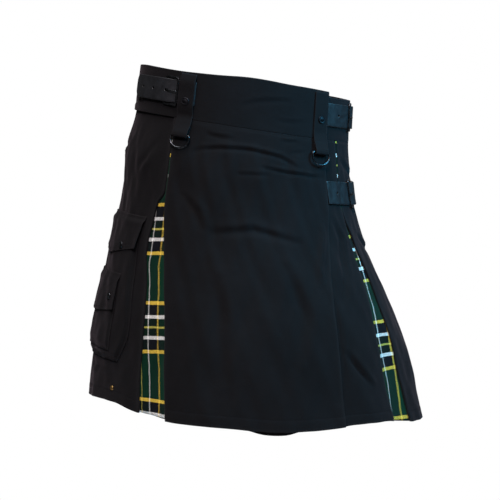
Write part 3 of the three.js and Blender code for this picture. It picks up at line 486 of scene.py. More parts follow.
# Mesh helpers
def meshObject(name, points, faces, material, uv=None, wear=None):
    mesh = bpy.data.meshes.new(name)
    mesh.from_pydata([tuple(p) for p in points], [], [tuple(f) for f in faces])
    if uv is not None:
        layer = mesh.uv_layers.new(name="cloth")
        loops = np.empty(len(mesh.loops), dtype=np.int32)
        mesh.loops.foreach_get("vertex_index", loops)
        layer.data.foreach_set("uv", np.asarray(uv, np.float32)[loops].ravel())
    if wear is not None:
        attribute = mesh.attributes.new("wear", "FLOAT", "POINT")
        attribute.data.foreach_set("value", np.asarray(wear, np.float32))
    mesh.materials.append(material)
    mesh.polygons.foreach_set("use_smooth", [True] * len(mesh.polygons))
    mesh.update()
    obj = bpy.data.objects.new(name, mesh)
    scene.collection.objects.link(obj)
    return obj


def signedVolume(points, quads):
    a, b, c, d = (points[quads[:, k]] for k in range(4))
    return np.einsum("ij,ij->", a, np.cross(b, c) + np.cross(c, d))


def gridFaces(rows, columns, start=0, flip=False):
    a = start + np.arange(rows - 1)[:, None] * columns + np.arange(columns - 1)[None, :]
    b, c, d = a + columns, a + columns + 1, a + 1
    return np.stack([a, d, c, b] if flip else [a, b, c, d], -1).reshape(-1, 4)


def tubeFaces(rows, count, closed=False):
    # faces of a tube made of rings of points, joined into a loop or capped at both ends
    faces = []
    for r in range(rows if closed else rows - 1):
        n = (r + 1) % rows
        faces += [(r * count + c, n * count + c, n * count + (c + 1) % count, r * count + (c + 1) % count)
                  for c in range(count)]
    if not closed:
        faces += [tuple(range(count)), tuple(range(rows * count - 1, (rows - 1) * count - 1, -1))]
    return faces


def fixNormals(obj):
    work = bmesh.new()
    work.from_mesh(obj.data)
    bmesh.ops.recalc_face_normals(work, faces=work.faces)
    work.to_mesh(obj.data)
    work.free()
    obj.data.update()


def nodeOf(name):
    # the solid that a piece stands for: frontApron for front_apron, backPanel1 for back_panel_1
    return "".join("_" + c.lower() if c.isupper() or c.isdigit() else c for c in name)


def attach(obj, node, body="kilt"):
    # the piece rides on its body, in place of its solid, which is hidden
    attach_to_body(obj, body)
    if node:
        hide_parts(node)


def runLength(line):
    # distance of each point from the first one along a line
    return np.concatenate([[0], np.linalg.norm(np.diff(line, axis=0), axis=1).cumsum()])


def circle(count):
    # cosine and sine of evenly spaced angles
    angle = np.linspace(0, 2 * math.pi, count, endpoint=False)
    return np.stack([np.cos(angle), np.sin(angle)], -1)


def unitRows(vectors):
    return vectors / np.maximum(np.linalg.norm(vectors, axis=1, keepdims=True), 1e-12)


def pathNormals(path):
    tangent = unitRows(np.gradient(path, axis=0))
    return np.stack([-tangent[:, 1], tangent[:, 0]], -1)


def loopNormals(outline):
    tangent = unitRows(np.roll(outline, -1, 0) - np.roll(outline, 1, 0))
    return np.stack([tangent[:, 1], -tangent[:, 0]], -1)


wallGrids = {}   # outer points of each wall, for the sewing


def shellObject(name, outer, inner, material, uv=None, wear=None, node=None):
    # closed wall between two grids of points
    wallGrids[name] = outer
    uv = clothUv(outer) if uv is None else uv
    rows, columns = outer.shape[:2]
    half = rows * columns
    points = np.concatenate([outer.reshape(-1, 3), inner.reshape(-1, 3)])
    faces = [gridFaces(rows, columns), gridFaces(rows, columns, half, flip=True)]
    r = np.arange(rows - 1)
    c = np.arange(columns - 1)
    left, right = r * columns, r * columns + columns - 1
    low = (rows - 1) * columns + c
    faces.append(np.stack([left + columns, left, half + left, half + left + columns], -1))
    faces.append(np.stack([right, right + columns, half + right + columns, half + right], -1))
    faces.append(np.stack([c, c + 1, half + c + 1, half + c], -1))
    faces.append(np.stack([low + 1, low, half + low, half + low + 1], -1))
    faces = np.concatenate(faces)
    if signedVolume(points, faces) < 0:
        faces = faces[:, ::-1]
    uvAll = np.concatenate([uv.reshape(-1, 2), uv.reshape(-1, 2)])
    wearAll = None if wear is None else np.concatenate([wear.ravel(), wear.ravel() * 0])
    obj = meshObject(name, points, faces, material, uvAll, wearAll)
    attach(obj, node or nodeOf(name))
    return obj


def gridArea(points):
    a = points[1:, :-1] - points[:-1, :-1]
    b = points[:-1, 1:] - points[:-1, :-1]
    return float(np.linalg.norm(np.cross(a, b), axis=-1).sum())


def cutSize(points):
    # widest row and longest column of a wall, which is the size that the piece was cut to
    width = np.linalg.norm(np.diff(points, axis=1), axis=-1).sum(1).max()
    length = np.linalg.norm(np.diff(points, axis=0), axis=-1).sum(0).max()
    return float(width), float(length)


def stateSheet(obj, outer, held, *restsOn):
    size = cutSize(outer)
    min(gridArea(outer), size[0] * size[1])


def clothUv(outer, origin=0):
    # U across from a column of the wall, V down the column, in metres
    across = np.concatenate([np.zeros((outer.shape[0], 1)),
                             np.linalg.norm(np.diff(outer, axis=1), axis=-1).cumsum(1)], 1)
    across = across - across[:, origin:origin + 1]
    down = np.concatenate([np.zeros((1, outer.shape[1])),
                           np.linalg.norm(np.diff(outer, axis=0), axis=-1).cumsum(0)], 0)
    return np.stack([across, down], -1)


# Cloth pieces
hemLook = {"sewn": 20.0, "from": 22.0, "to": 19.0, "thicker": 0.45, "line": 0.35, "lineWidth": 1.6}
foldPoints = 6   # points across the part of a panel or insert that is folded back


def foldArc(degrees, out, side, radius, count=7):
    angle = np.linspace(0, math.pi, count + 2)[1:-1]
    return (np.full(count, float(degrees)), side * radius * (np.sin(angle) - 1),
            out - radius * (1 - np.cos(angle)), np.ones(count))


def panelRow(left, right, out, columns, foldLeft=True, foldRight=True, radius=None):
    # one row of a panel: degrees, shift along, outward, and wear at its pleat edges
    radius = garment["foldRadius"] if radius is None else radius
    back = out - 2 * radius
    turned = garment["pleatReturn"]
    parts = []
    n = foldPoints
    if foldLeft:
        parts.append((np.full(n, left), np.linspace(turned, radius, n), np.full(n, back), np.zeros(n)))
        d, a, o, w = foldArc(left, out, -1, radius)
        parts.append((d, a[::-1], o[::-1], w))
    t = np.linspace(0, 1, columns + 1)
    start, end = (radius if foldLeft else 0), (-radius if foldRight else 0)
    main = np.exp(-np.minimum(t if foldLeft else t + 9, (1 - t) if foldRight else 10 - t) * columns / 0.7)
    parts.append((left + (right - left) * t, start + (end - start) * t, np.full(columns + 1, out), main))
    if foldRight:
        parts.append(foldArc(right, out, 1, radius))
        parts.append((np.full(n, right), np.linspace(-radius, -turned, n), np.full(n, back), np.zeros(n)))
    return [np.concatenate(column) for column in zip(*parts)]


def hemRelief(drop):
    # the turned-up hem is a little thicker, with a shallow line where it is sewn
    hem = garment["hemDrop"]
    band = smoothStep(drop, hem - hemLook["from"], hem - hemLook["to"]) * hemLook["thicker"]
    return band - hemLook["line"] * np.exp(-((drop - (hem - hemLook["sewn"])) / hemLook["lineWidth"]) ** 2)


def sheetPiece(name, drops, rowOf, wall, material=blackTwill, dropAt=None, hem=True, uvOrigin=0, grain=None,
               tuck=0.0):
    # a hanging wall of cloth: rowOf(drop) gives its middle line from one side to the other
    outer, inner, wear = [], [], []
    for drop in drops:
        degrees, along, out, worn = rowOf(drop)
        perDegree = perDegreeAt(drop)
        s = degrees * perDegree + along
        step = unitRows(np.stack([np.diff(s), np.diff(out)], -1))
        tangent = np.zeros((len(s), 2))
        tangent[:-1] += step
        tangent[1:] += step
        tangent = unitRows(tangent)
        normal = np.stack([-tangent[:, 1], tangent[:, 0]], -1)
        extra = float(hemRelief(drop)) if hem else 0.0
        extra -= tuck * float(1 - smoothStep(drop, 78, 86))
        for store, half in ((outer, wall / 2 + extra), (inner, -wall / 2)):
            d = (s + normal[:, 0] * half) / perDegree
            z = np.full(len(s), drop) if dropAt is None else dropAt(drop, d)
            store.append((d, z, out + normal[:, 1] * half))
        wear.append(np.clip(worn * 0.5 + math.exp(-((garment["hemDrop"] - drop) / 2.5) ** 2) * 0.6, 0, 1))
    outer = bodyPoint(*[np.array([row[k] for row in outer]) for k in range(3)])
    inner = bodyPoint(*[np.array([row[k] for row in inner]) for k in range(3)])
    uv = clothUv(outer, uvOrigin)
    if grain:
        uv = grainUv(uv, np.array(drops), uvOrigin, grain)
    stateSheet(shellObject(name, outer, inner, material, uv, np.array(wear)), outer, "hung", "waistband")


def grainUv(uv, drops, origin, grain):
    # rows of the pattern run level; its columns may lean against the piece's edge
    lean = np.interp(drops, grain["drop"], grain["lean"])[:, None] * mm
    slant = np.interp(drops, [drops[0], drops[-1]], grain["slant"])[:, None]
    u = uv[..., 0] * grain["narrow"]
    down = np.broadcast_to(uv[:, origin:origin + 1, 1], u.shape)
    if "slide" in grain:
        down = down + np.interp(drops, *grain["slide"])[:, None] * mm
    across, below = grain["shift"]
    return np.stack([u - lean + across * mm, down + slant * uv[..., 0] + below * mm], -1)


panelTop = garment["bandHeight"] + 0.02


def dropList(top, bottom, step=5.0, hem=True):
    rows = np.linspace(top, bottom, int((bottom - top) / step) + 2)
    if hem:
        fine = bottom - np.array([24, 22, 21, 20, 19, 18, 3, 1.5])
        rows = np.unique(np.round(np.concatenate([rows, fine]), 2))
    return rows


# the pleat beside the apron isn't quite shut above its opening, and its tartan shows there
slit = {"shut": 2.2, "wider": 4.6, "out": -0.9, "shutLeft": 2.3, "left": 2.6}


def rightGapAt(drop):
    shut = apronLeftAt(drop) - (slit["shut"] + slit["wider"] * smoothStep(drop, 95, 120)) / perDegreeAt(drop)
    wide = np.interp(drop, rightGap["drop"], rightGap["degrees"])
    t = smoothStep(drop, 196, 222)
    return shut + (min(float(shut), float(wide)) - shut) * t


def leftGapAt(drop):
    ajar = slit["left"] * smoothStep(drop, 80, 88) * (1 - smoothStep(drop, 97, 112))
    shut = underEdgeAt(drop) + (slit["shutLeft"] + ajar) / perDegreeAt(drop)
    return max(float(shut), float(np.interp(drop, leftGap["drop"], leftGap["degrees"])))


def gapAround(centre):
    # both sides of a pleat gap at the back, as functions of the drop
    def half(drop):
        return np.interp(drop, pleatGap["drop"], pleatGap["width"]) / 2 / perDegreeAt(drop)
    return lambda drop: centre - half(drop), lambda drop: centre + half(drop)


# the under apron's edge, which hangs a little below the apron
hemPeek = {"degrees": 6.0, "spread": 7.0, "extra": 6.0, "from": 60.0}


def underDropAt(drop, degrees):
    off = (degrees - hemPeek["degrees"]) / hemPeek["spread"]
    hem = garment["hemDrop"]
    return drop + hemPeek["extra"] * np.exp(-off ** 4) * smoothStep(drop, hem - hemPeek["from"], hem)


panelDrops = dropList(panelTop, garment["hemDrop"])
apronDrops = np.unique(np.concatenate([dropList(panelTop, garment["hemDrop"], 3.0), [79, 81, 83, 85]]))
apronRadius = (garment["apronOut"] - garment["apronReturnOut"]) / 2
underInset = 33.0   # from the apron's edge to the under apron's, in millimetres
sheetPiece("frontApron", apronDrops, lambda z: panelRow(
    float(apronLeftAt(z)), float(apronFreeAt(z)), garment["apronOut"], 104, radius=apronRadius),
    garment["clothWall"], tuck=0.9)
sheetPiece("underApron", panelDrops, lambda z: panelRow(
    float(apronLeftAt(z)) + underInset / perDegreeAt(z), float(underEdgeAt(z)), garment["panelOut"],
    66, foldLeft=False), garment["clothWall"], dropAt=underDropAt)
backGaps = [gapAround(centre) for centre in backPleats]
panelRuns = [
    ("sidePanelRight", backGaps[0][1], rightGapAt, 54),
    ("backPanel1", backGaps[1][1], backGaps[0][0], 28),
    ("backPanel2", lambda z: backGaps[2][1](z) - 360, backGaps[1][0], 28),
    ("backPanel3", backGaps[3][1], backGaps[2][0], 28),
    ("backPanel4", backGaps[4][1], backGaps[3][0], 28),
    ("sidePanelLeft", leftGapAt, backGaps[4][0], 38),
]
for name, low, high, columns in panelRuns:
    sheetPiece(name, panelDrops, lambda z, low=low, high=high, columns=columns: panelRow(
        float(low(z)), float(high(z)), garment["panelOut"], columns), garment["clothWall"])
print("black panels made")

insert = {"reach": 21.0, "wall": 1.2, "recess": 7.0, "shorter": 0.5, "columns": 20, "foldRoom": 3.0}


def insertRow(low, high, outHigh, drop, lifted):
    recess = insert["recess"] * float(smoothStep(drop, 196, garment["hemDrop"]))
    if lifted:
        recess += (garment["insertOut"] - slit["out"]) * float(1 - smoothStep(drop, 190, 260))
    side = foldPoints
    t = np.linspace(0, 1, insert["columns"] + 1)
    folded = np.linspace(insert["foldRoom"], insert["reach"], side)
    degrees = np.concatenate([np.full(side, low), low + (high - low) * t, np.full(side, high)])
    along = np.concatenate([-folded[::-1], t * 0, folded])
    rise = smoothStep(folded, 1, insert["reach"] * 0.6)
    level = garment["insertOut"]
    out = np.concatenate([np.full(side, level), level - recess * np.sin(math.pi * t),
                          level + (outHigh - level) * rise])
    return [degrees, along, out, degrees * 0]


insertDrops = dropList(panelTop, garment["hemDrop"] - insert["shorter"], 4.0, hem=False)
nearApron = garment["apronReturnOut"] - garment["clothWall"] / 2 - garment["layerGap"] - insert["wall"] / 2
# where the pattern lies on each insert: shift across and down in millimetres, the slant of its
# rows, and how far its columns lean towards the piece's higher edge at each drop
plainGrain = {"drop": [196, 400], "lean": [0, 0], "slant": (0.02, 0.0), "narrow": 1.0}
lowEdge, highEdge = foldPoints, foldPoints + insert["columns"]
# low side, high side, outward at the high side, column that the pattern starts from, lifted, grain
insertRuns = [
    (rightGapAt, apronLeftAt, nearApron, highEdge, True,
     {"drop": [90, 168, 196, 228, 270, 312, 330, 400], "lean": [48, 48, 30, 22.5, 17, 9.5, 3, 0],
      "slant": (0.19, 0.09), "narrow": 1.3, "shift": (113.0, 20.0)}),
]
for gap, across in zip(backGaps, (40.0, 96.0, 42.0, 130.0, 60.0)):
    insertRuns.append((*gap, garment["insertOut"], (lowEdge + highEdge) // 2, False,
                       {**plainGrain, "shift": (across, 10.0)}))
insertRuns.append((underEdgeAt, leftGapAt, garment["insertOut"], lowEdge, True,
                   {**plainGrain, "slant": (0.10, 0.10), "shift": (42.0, 11.5),
                    "slide": ([196, 322, 400], [-12.6, -12.6, 0])}))
for i, (low, high, outHigh, origin, lifted, grain) in enumerate(insertRuns, 1):
    sheetPiece(f"tartanPleat{i}", insertDrops,
               lambda z, low=low, high=high, outHigh=outHigh, lifted=lifted: insertRow(
                   float(low(z)), float(high(z)), outHigh, z, lifted),
               insert["wall"], tartanCloth, hem=False, uvOrigin=origin, grain=grain)
print("tartan inserts made")

# Waistband, one strip from its free end round the body and under itself
band = {"free": 49.5, "hidden": -384.0, "columns": 340, "rows": 22, "rounded": 1.2,
        "sewn": {"in": 3.6, "depth": 0.3, "width": 0.9}, "pucker": {"in": 5.0, "height": 0.18, "width": 3.0},
        "travel": [0, 12, 26.5, 38.5, 49.5, 60.5, 70, 83, 95, 117, 135, 175, 290, 312, 345, 440],
        "out": [2.6] * 11 + [-0.9] * 5,
        "rise": [5, 6.5, 7, 9, 9, 5.4, 3.6, 1.8, 1.8, 3.6, 2, 0, -2, -4, -4, -3]}


def roundedHalf(distance, radius, wall):
    # half thickness of a wall near its rounded edge
    near = np.clip(distance / radius, 0, 1)
    return wall / 2 * np.sqrt(np.maximum(1 - (1 - near) ** 2, 0.04))


def makeWaistband():
    degrees = np.linspace(band["free"], band["hidden"], band["columns"])
    travel = band["free"] - degrees
    out, rise = [np.convolve(np.pad(np.interp(travel, band["travel"], band[key]), 4, mode="edge"),
                             np.ones(9) / 9, mode="valid") for key in ("out", "rise")]
    share = np.concatenate([[0, 0.006, 0.015], np.linspace(0.03, 0.97, band["rows"]), [0.985, 0.994, 1]])
    height = garment["bandHeight"]
    fromEdge = np.minimum(share, 1 - share) * height
    half = roundedHalf(fromEdge, band["rounded"], garment["bandWall"])[:, None]
    drop = height * share[:, None] - rise[None, :] * (1 - share[:, None])
    sewn, pucker = [band[key] for key in ("sewn", "pucker")]
    line = -sewn["depth"] * np.exp(-((fromEdge - sewn["in"]) / sewn["width"]) ** 2)[:, None]
    waves = pucker["height"] * np.sin(travel * 2.9 * 2 * math.pi / 9.0)[None, :]
    waves = waves * np.exp(-((fromEdge - pucker["in"]) / pucker["width"]) ** 2)[:, None]
    outer = bodyPoint(degrees[None, :], drop, out[None, :] + half + waves + line)
    inner = bodyPoint(degrees[None, :], drop, out[None, :] - half)
    wear = np.exp(-(fromEdge / 1.2) ** 2)[:, None] * 0.7 + np.zeros_like(drop)
    obj = shellObject("waistbandStrip", outer, inner, blackTwill, wear=wear, node="waistband")
    stateSheet(obj, outer, "hung", "front_apron")


makeWaistband()
print("waistband made")


# Belt loops, D-rings and snaps
def onBody(anchor, u, v, w, creased=True):
    # u to the wearer's left, v down, both in millimetres from the anchor, and w outward
    degrees, drop = anchor
    return bodyPoint(degrees + np.asarray(u) / perDegreeAt(drop), drop + np.asarray(v), w, creased)


strip = {"edge": 0.8, "columns": 18, "wear": 0.5}


def stripPiece(name, place, profile, width, wall, material, held):
    # strip of cloth or leather: profile lists (along, out), place(across, along, out) gives its points
    profile, edge = np.array(profile, float), strip["edge"]
    normal = pathNormals(profile)
    if normal[0, 1] < 0:
        normal = -normal
    share = np.concatenate([[0, 0.01, 0.03], np.linspace(0.06, 0.94, strip["columns"]), [0.97, 0.99, 1]])
    across = (share - 0.5) * width
    inset = width / 2 - np.abs(across)
    half = roundedHalf(inset, edge, wall)
    ends = runLength(profile)
    fromEnd = np.minimum(ends, ends[-1] - ends)
    taper = np.sqrt(np.clip(1 - (1 - np.clip(fromEnd / edge, 0, 1)) ** 2, 0.04, 1))
    grids = []
    for sign in (1, -1):
        shift = sign * half[None, :] * taper[:, None]
        grids.append(place(np.broadcast_to(across, shift.shape), profile[:, :1] + normal[:, :1] * shift,
                           profile[:, 1:] + normal[:, 1:] * shift))
    wear = np.exp(-(inset / 0.9) ** 2)[None, :] * strip["wear"] + np.zeros(grids[0].shape[:2])
    stateSheet(shellObject(name, *grids, material, wear=wear), grids[0], held, "waistband")


def smoothPath(points, step):
    # dense curve through a few (along, out) points
    p = np.array(points, float)
    t = runLength(p)
    dense = np.linspace(0, t[-1], int(t[-1] / step) + 2)
    slope = np.gradient(p, t, axis=0)
    i = np.clip(np.searchsorted(t, dense, side="right") - 1, 0, len(t) - 2)
    span = (t[i + 1] - t[i])[:, None]
    f = ((dense - t[i])[:, None]) / span
    return ((1 - f) ** 2 * (1 + 2 * f) * p[i] + f * (1 - f) ** 2 * span * slope[i]
            + f * f * (3 - 2 * f) * p[i + 1] - f * f * (1 - f) * span * slope[i + 1])


def latheCap(name, anchor, base, profile, material, turns=40):
    # a small round cap; profile lists (radius, height) from its middle below to its middle on top
    points, faces = [onBody(anchor, 0, 0, base + profile[0][1])], []
    for radius, height in profile[1:-1]:
        points.extend(onBody(anchor, *radius * circle(turns).T, base + height))
    points.append(onBody(anchor, 0, 0, base + profile[-1][1]))
    rings = len(profile) - 2
    for i in range(turns):
        j = (i + 1) % turns
        faces.append((0, 1 + j, 1 + i))
        for r in range(rings - 1):
            a, b = 1 + r * turns, 1 + (r + 1) * turns
            faces.append((a + i, a + j, b + j, b + i))
        last = 1 + (rings - 1) * turns
        faces.append((last + i, last + j, len(points) - 1))
    obj = meshObject(name, points, faces, material)
    fixNormals(obj)
    attach(obj, nodeOf(name))


def steelSweep(name, rings, body="kilt", closed=True):
    # a steel part made of rings of points along its middle line
    obj = meshObject(name, np.concatenate(rings), tubeFaces(len(rings), len(rings[0]), closed), darkSteel)
    fixNormals(obj)
    attach(obj, nodeOf(name), body)


loops = {
    "width": 26.0, "wall": 1.6, "foot": 84.0, "flat": 0.6, "ringRoom": 0.42,
    # the tab is a little narrower where it holds the ring
    "narrower": {"by": 0.09, "from": 86.0, "to": 98.0},
    # side, degrees, rise, room over a strap, and drop and out of the ring's bar on its hinge
    "front": [("Right", -30.6, 0.0, 3.2, 105.2, 10.08), ("Left", 43.6, 4.0, 0.0, 104.74, 10.04)],
    "back": [("Back1", -129), ("Back2", 180), ("Back3", 129)],
}
ring = {"width": 38.5, "height": 25.0, "wire": 1.6, "shoulder": 0.35}
snap = {"drop": 48.0, "profile": [(0, 0), (6.5, 0), (6.5, 0.9), (6.1, 1.5), (5.4, 1.75), (4.9, 1.35),
                                  (4.3, 1.25), (3.2, 1.75), (1.6, 2.1), (0, 2.2)]}
bandFace = garment["bandOut"] + garment["bandWall"] / 2
apronFace = garment["apronOut"] + garment["clothWall"] / 2
loopOut = bandFace + garment["layerGap"] + loops["flat"] + loops["wall"] / 2
wrapRadius = ring["wire"] + garment["layerGap"] + loops["ringRoom"] + loops["wall"] / 2
tabBack = apronFace + garment["layerGap"] + loops["flat"] + loops["wall"] / 2


def ringOutline():
    reach = ring["width"] / 2 - ring["wire"]
    fall = ring["height"] - 2 * ring["wire"]
    shoulder = fall * ring["shoulder"]
    angle = np.radians(np.linspace(0, 180, 61))
    bow = np.stack([reach * np.cos(angle), shoulder + (fall - shoulder) * np.sin(angle)], -1)
    bar = np.stack([np.linspace(-reach, reach, 30), np.zeros(30)], -1)
    rise = np.linspace(0, shoulder, 8)[1:-1]
    sides = [np.stack([np.full(6, x), y], -1) for x, y in ((reach, rise), (-reach, rise[::-1]))]
    outline = np.concatenate([bar, sides[0], bow, sides[1]])
    for _ in range(6):
        outline = (np.roll(outline, 1, 0) + outline * 2 + np.roll(outline, -1, 0)) / 4
    return outline


def makeRing(side, anchor, bar, barOut):
    ends = [onBody(anchor, s * loops["width"] / 2, bar, barOut, False) for s in (-1, 1)]
    centre = (ends[0] + ends[1]) / 2
    along = (ends[1] - ends[0]) / np.linalg.norm(ends[1] - ends[0])
    down = onBody(anchor, 0, bar + ring["height"], barOut, False) - centre
    outward = -np.cross(along, down / np.linalg.norm(down))
    outward /= np.linalg.norm(outward)
    fall = np.cross(along, outward)
    fall *= -np.sign(fall[2]) / np.linalg.norm(fall)
    outline = ringOutline() * mm
    flat = loopNormals(outline)
    centres = centre + outline[:, :1] * along + outline[:, 1:] * fall
    normals = flat[:, :1] * along + flat[:, 1:] * fall
    section = circle(20) * ring["wire"] * mm
    rings = [middle + section[:, :1] * normal + section[:, 1:] * outward
             for middle, normal in zip(centres, normals)]
    steelSweep(f"dRing{side}", rings, nodeOf(f"ring{side}"))


def makeFrontLoop(side, degrees, rise, overStrap, bar, barOut):
    anchor, thin = (degrees, -rise), loops["narrower"]
    high, foot = loopOut + overStrap, loops["foot"]
    profile = list(smoothPath([(1, loopOut), (5, loopOut + overStrap * 0.4), (11, high), (33, high + 0.3),
                               (57, high), (64, loopOut + overStrap * 0.5), (70, loopOut),
                               (foot, loopOut + 2.4), (bar - 4, barOut + wrapRadius - 0.4)], 2.0))
    for angle in np.radians(np.linspace(78, -90, 15)):
        profile.append((bar + wrapRadius * math.cos(angle), barOut + wrapRadius * math.sin(angle)))
    profile += [(bar - 5, tabBack), (foot + 10, tabBack), (foot + 6, tabBack)]

    def place(u, v, w):
        return onBody(anchor, u * (1 - thin["by"] * smoothStep(v, thin["from"], thin["to"])), v, w)

    stripPiece(f"beltLoop{side}", place, profile, loops["width"], loops["wall"], blackTwill, "folded")
    makeRing(side, anchor, bar, barOut)
    latheCap(f"snap{side}", (degrees, snap["drop"] - rise), high + loops["wall"] / 2 + garment["seamGap"],
             snap["profile"], mattSteel)


for run in loops["front"]:
    makeFrontLoop(*run)
for side, degrees in loops["back"]:
    face = garment["bandInsideOut"] + garment["bandWall"] / 2 + garment["layerGap"] + loops["wall"] / 2
    profile = smoothPath([(2, face), (6, face), (14, face + 0.8), (39, face + 1.4), (64, face + 0.8),
                          (72, face), (76, face)], 2.0)
    stripPiece(f"beltLoop{side}", lambda u, v, w, degrees=degrees: onBody((degrees, 0), u, v, w), profile,
               loops["width"], loops["wall"], blackTwill, "laid")
print("loops, rings and snaps made")

# Straps, buckles, prongs and the chapes that hold the buckles
straps = {
    "width": 40.0, "wall": 2.4, "holeRadius": 2.5, "slotRoom": 0.6,
    "groove": {"in": 2.6, "depth": 0.28, "width": 0.5},
    # the tip narrows to a soft point: distance from it, share of the width
    "tip": ([0, 1.0, 3, 5.5, 8, 12, 16], [0.30, 0.46, 0.66, 0.80, 0.90, 0.975, 1.0]),
    "frame": {"length": 30.0, "height": 50.0, "bar": 3.6, "thickness": 2.4, "corner": 6.0, "round": 0.62},
    "prong": {"width": 3.0, "thickness": 2.0},
    "chape": {"length": 32.0, "width": 34.0, "wall": 1.8},
    "runs": [
        # name, start, tip, near bar, drop, face under it, holes from the prong's own in mm
        ("WaistRight", -26.0, -76.0, -36.4, 34.0, bandFace, (30, 60)),
        ("WaistLeft", 49.75, 112.0, 74.0, 34.0,
         garment["bandInsideOut"] + garment["bandWall"] / 2, (-60, 30, 60)),
        ("HipLeft", 49.0, 108.0, 70.5, 171.0,
         garment["panelOut"] + garment["clothWall"] / 2, (-60, 30, 60)),
    ],
}


def subtractShapes(obj, cutters):
    for cutter in cutters:
        modifier = obj.modifiers.new("cut", "BOOLEAN")
        modifier.operation = "DIFFERENCE"
        modifier.solver = "EXACT"
        modifier.object = cutter
        graph = bpy.context.evaluated_depsgraph_get()
        mesh = bpy.data.meshes.new_from_object(obj.evaluated_get(graph))
        obj.modifiers.clear()
        old = obj.data
        obj.data = mesh
        bpy.data.meshes.remove(old)
        bpy.data.objects.remove(cutter)
    obj.data.polygons.foreach_set("use_smooth", [True] * len(obj.data.polygons))


def planStrap(start, tip, near, drop, face):
    # where a strap and its buckle lie: millimetres along it from its start, and outward
    perDegree = perDegreeAt(drop)
    side = 1 if tip > start else -1
    far = near + side * (straps["frame"]["length"] - straps["frame"]["bar"]) / perDegree
    low = face + garment["layerGap"] + straps["wall"] / 2
    over = low + straps["wall"] + garment["layerGap"]
    places = {"near": near, "mid": (near + far) / 2, "far": far, "tip": tip}
    plan = {key: side * (degrees - start) * perDegree for key, degrees in places.items()}
    plan.update(side=side, anchor=(start, drop), centre=((near + far) / 2, drop), low=low, over=over,
                lying=low + straps["chape"]["wall"] + garment["layerGap"],
                rise=(over - low) / (far - near) / perDegree,
                slotFrom=plan["mid"] + 3.5, slotTo=plan["far"] - 2.4)
    return plan


def plugThrough(plan, outline):
    # closed block along an outline, right through the strap
    rings = [onBody(plan["anchor"], plan["side"] * outline[:, 0], outline[:, 1], w)
             for w in (plan["over"] + 8, plan["low"] - 6)]
    obj = meshObject("plug", np.concatenate(rings), tubeFaces(2, len(outline)), blackLeather)
    fixNormals(obj)
    return obj


def strapCutters(plan, holes):
    # the long slot that the prong comes through, and the round holes
    bend = np.radians(np.linspace(-90, 90, 9))
    radius = straps["prong"]["width"] / 2 + straps["slotRoom"]
    end = np.stack([radius * np.cos(bend) - radius, radius * np.sin(bend)], -1)
    cutters = [plugThrough(plan, np.concatenate([end + (plan["slotTo"], 0), -end + (plan["slotFrom"], 0)]))]
    hole = straps["holeRadius"] * circle(24)
    for shift in holes:
        at = (plan["slotFrom"] + plan["slotTo"]) / 2 + shift
        if 8 <= at <= plan["tip"] - 14:
            cutters.append(plugThrough(plan, hole + (at, 0)))
    return cutters


def makeLeather(name, plan, holes):
    low, over, lying, far = plan["low"], plan["over"], plan["lying"], plan["far"]
    path = [(0, low), (plan["near"] - 6, low), (plan["near"] + 4, low + 0.1), (plan["mid"], (low + over) / 2),
            (far - 5, over - 0.1), (far, over + 0.1), (far + 5, over), (far + 14, (over + lying) / 2),
            (far + 24, lying)]
    if plan["tip"] - far > 40:
        path.append(((plan["tip"] + far + 24) / 2, lying))
    path.append((plan["tip"], lying))
    profile = smoothPath(path, 1.6)
    share = np.concatenate([[0, 0.006, 0.02], np.linspace(0.05, 0.95, 22), [0.98, 0.994, 1]])
    fromTip = np.clip(plan["tip"] - profile[:, 0], 0, None)
    width = straps["width"] * np.interp(fromTip, *straps["tip"])[:, None]
    across = (share[None, :] - 0.5) * width
    inset = np.minimum(share, 1 - share)[None, :] * width
    thick = roundedHalf(inset, 1.1, straps["wall"]) * np.sqrt(np.clip(fromTip / 1.1, 0.05, 1))[:, None]
    groove = straps["groove"]
    line = groove["depth"] * np.exp(-((inset - groove["in"]) / groove["width"]) ** 2)
    grids = [onBody(plan["anchor"], plan["side"] * np.broadcast_to(profile[:, :1], across.shape), across,
                    profile[:, 1:] + shift) for shift in (thick - line, -thick)]
    obj = shellObject(f"strap{name}", *grids, blackLeather)
    stateSheet(obj, grids[0], "laid", "waistband")
    subtractShapes(obj, strapCutters(plan, holes))


def frameOutline():
    size = straps["frame"]
    halfLength = (size["length"] - size["bar"]) / 2
    halfHeight = (size["height"] - size["bar"]) / 2
    corner = size["corner"] - size["bar"] / 2
    outline = []
    for sx, sy, first in ((1, 1, 0), (-1, 1, 90), (-1, -1, 180), (1, -1, 270)):
        for a in np.radians(np.linspace(first, first + 90, 9)):
            outline.append((sx * (halfLength - corner) + corner * math.cos(a),
                            sy * (halfHeight - corner) + corner * math.sin(a)))
    outline = np.array(outline)
    dense = []
    for a, b in zip(outline, np.roll(outline, -1, 0)):
        steps = max(1, int(np.linalg.norm(b - a) / 2.5))
        dense += [a + (b - a) * k / steps for k in range(steps)]
    return np.array(dense)


def makeFrame(name, plan):
    # the buckle's near bar lies over the strap and its far bar under it
    size, outline = straps["frame"], frameOutline()
    flat = loopNormals(outline)
    section = [np.sign(turn) * np.abs(turn) ** size["round"] * size[key] / 2
               for turn, key in zip(circle(24).T, ("bar", "thickness"))]
    middle = (plan["low"] + plan["over"]) / 2
    x, y = [outline[:, k:k + 1] + flat[:, k:k + 1] * section[0] for k in (0, 1)]
    rings = onBody(plan["centre"], x, y, middle - x * plan["rise"] + section[1])
    steelSweep(f"buckle{name}", rings)


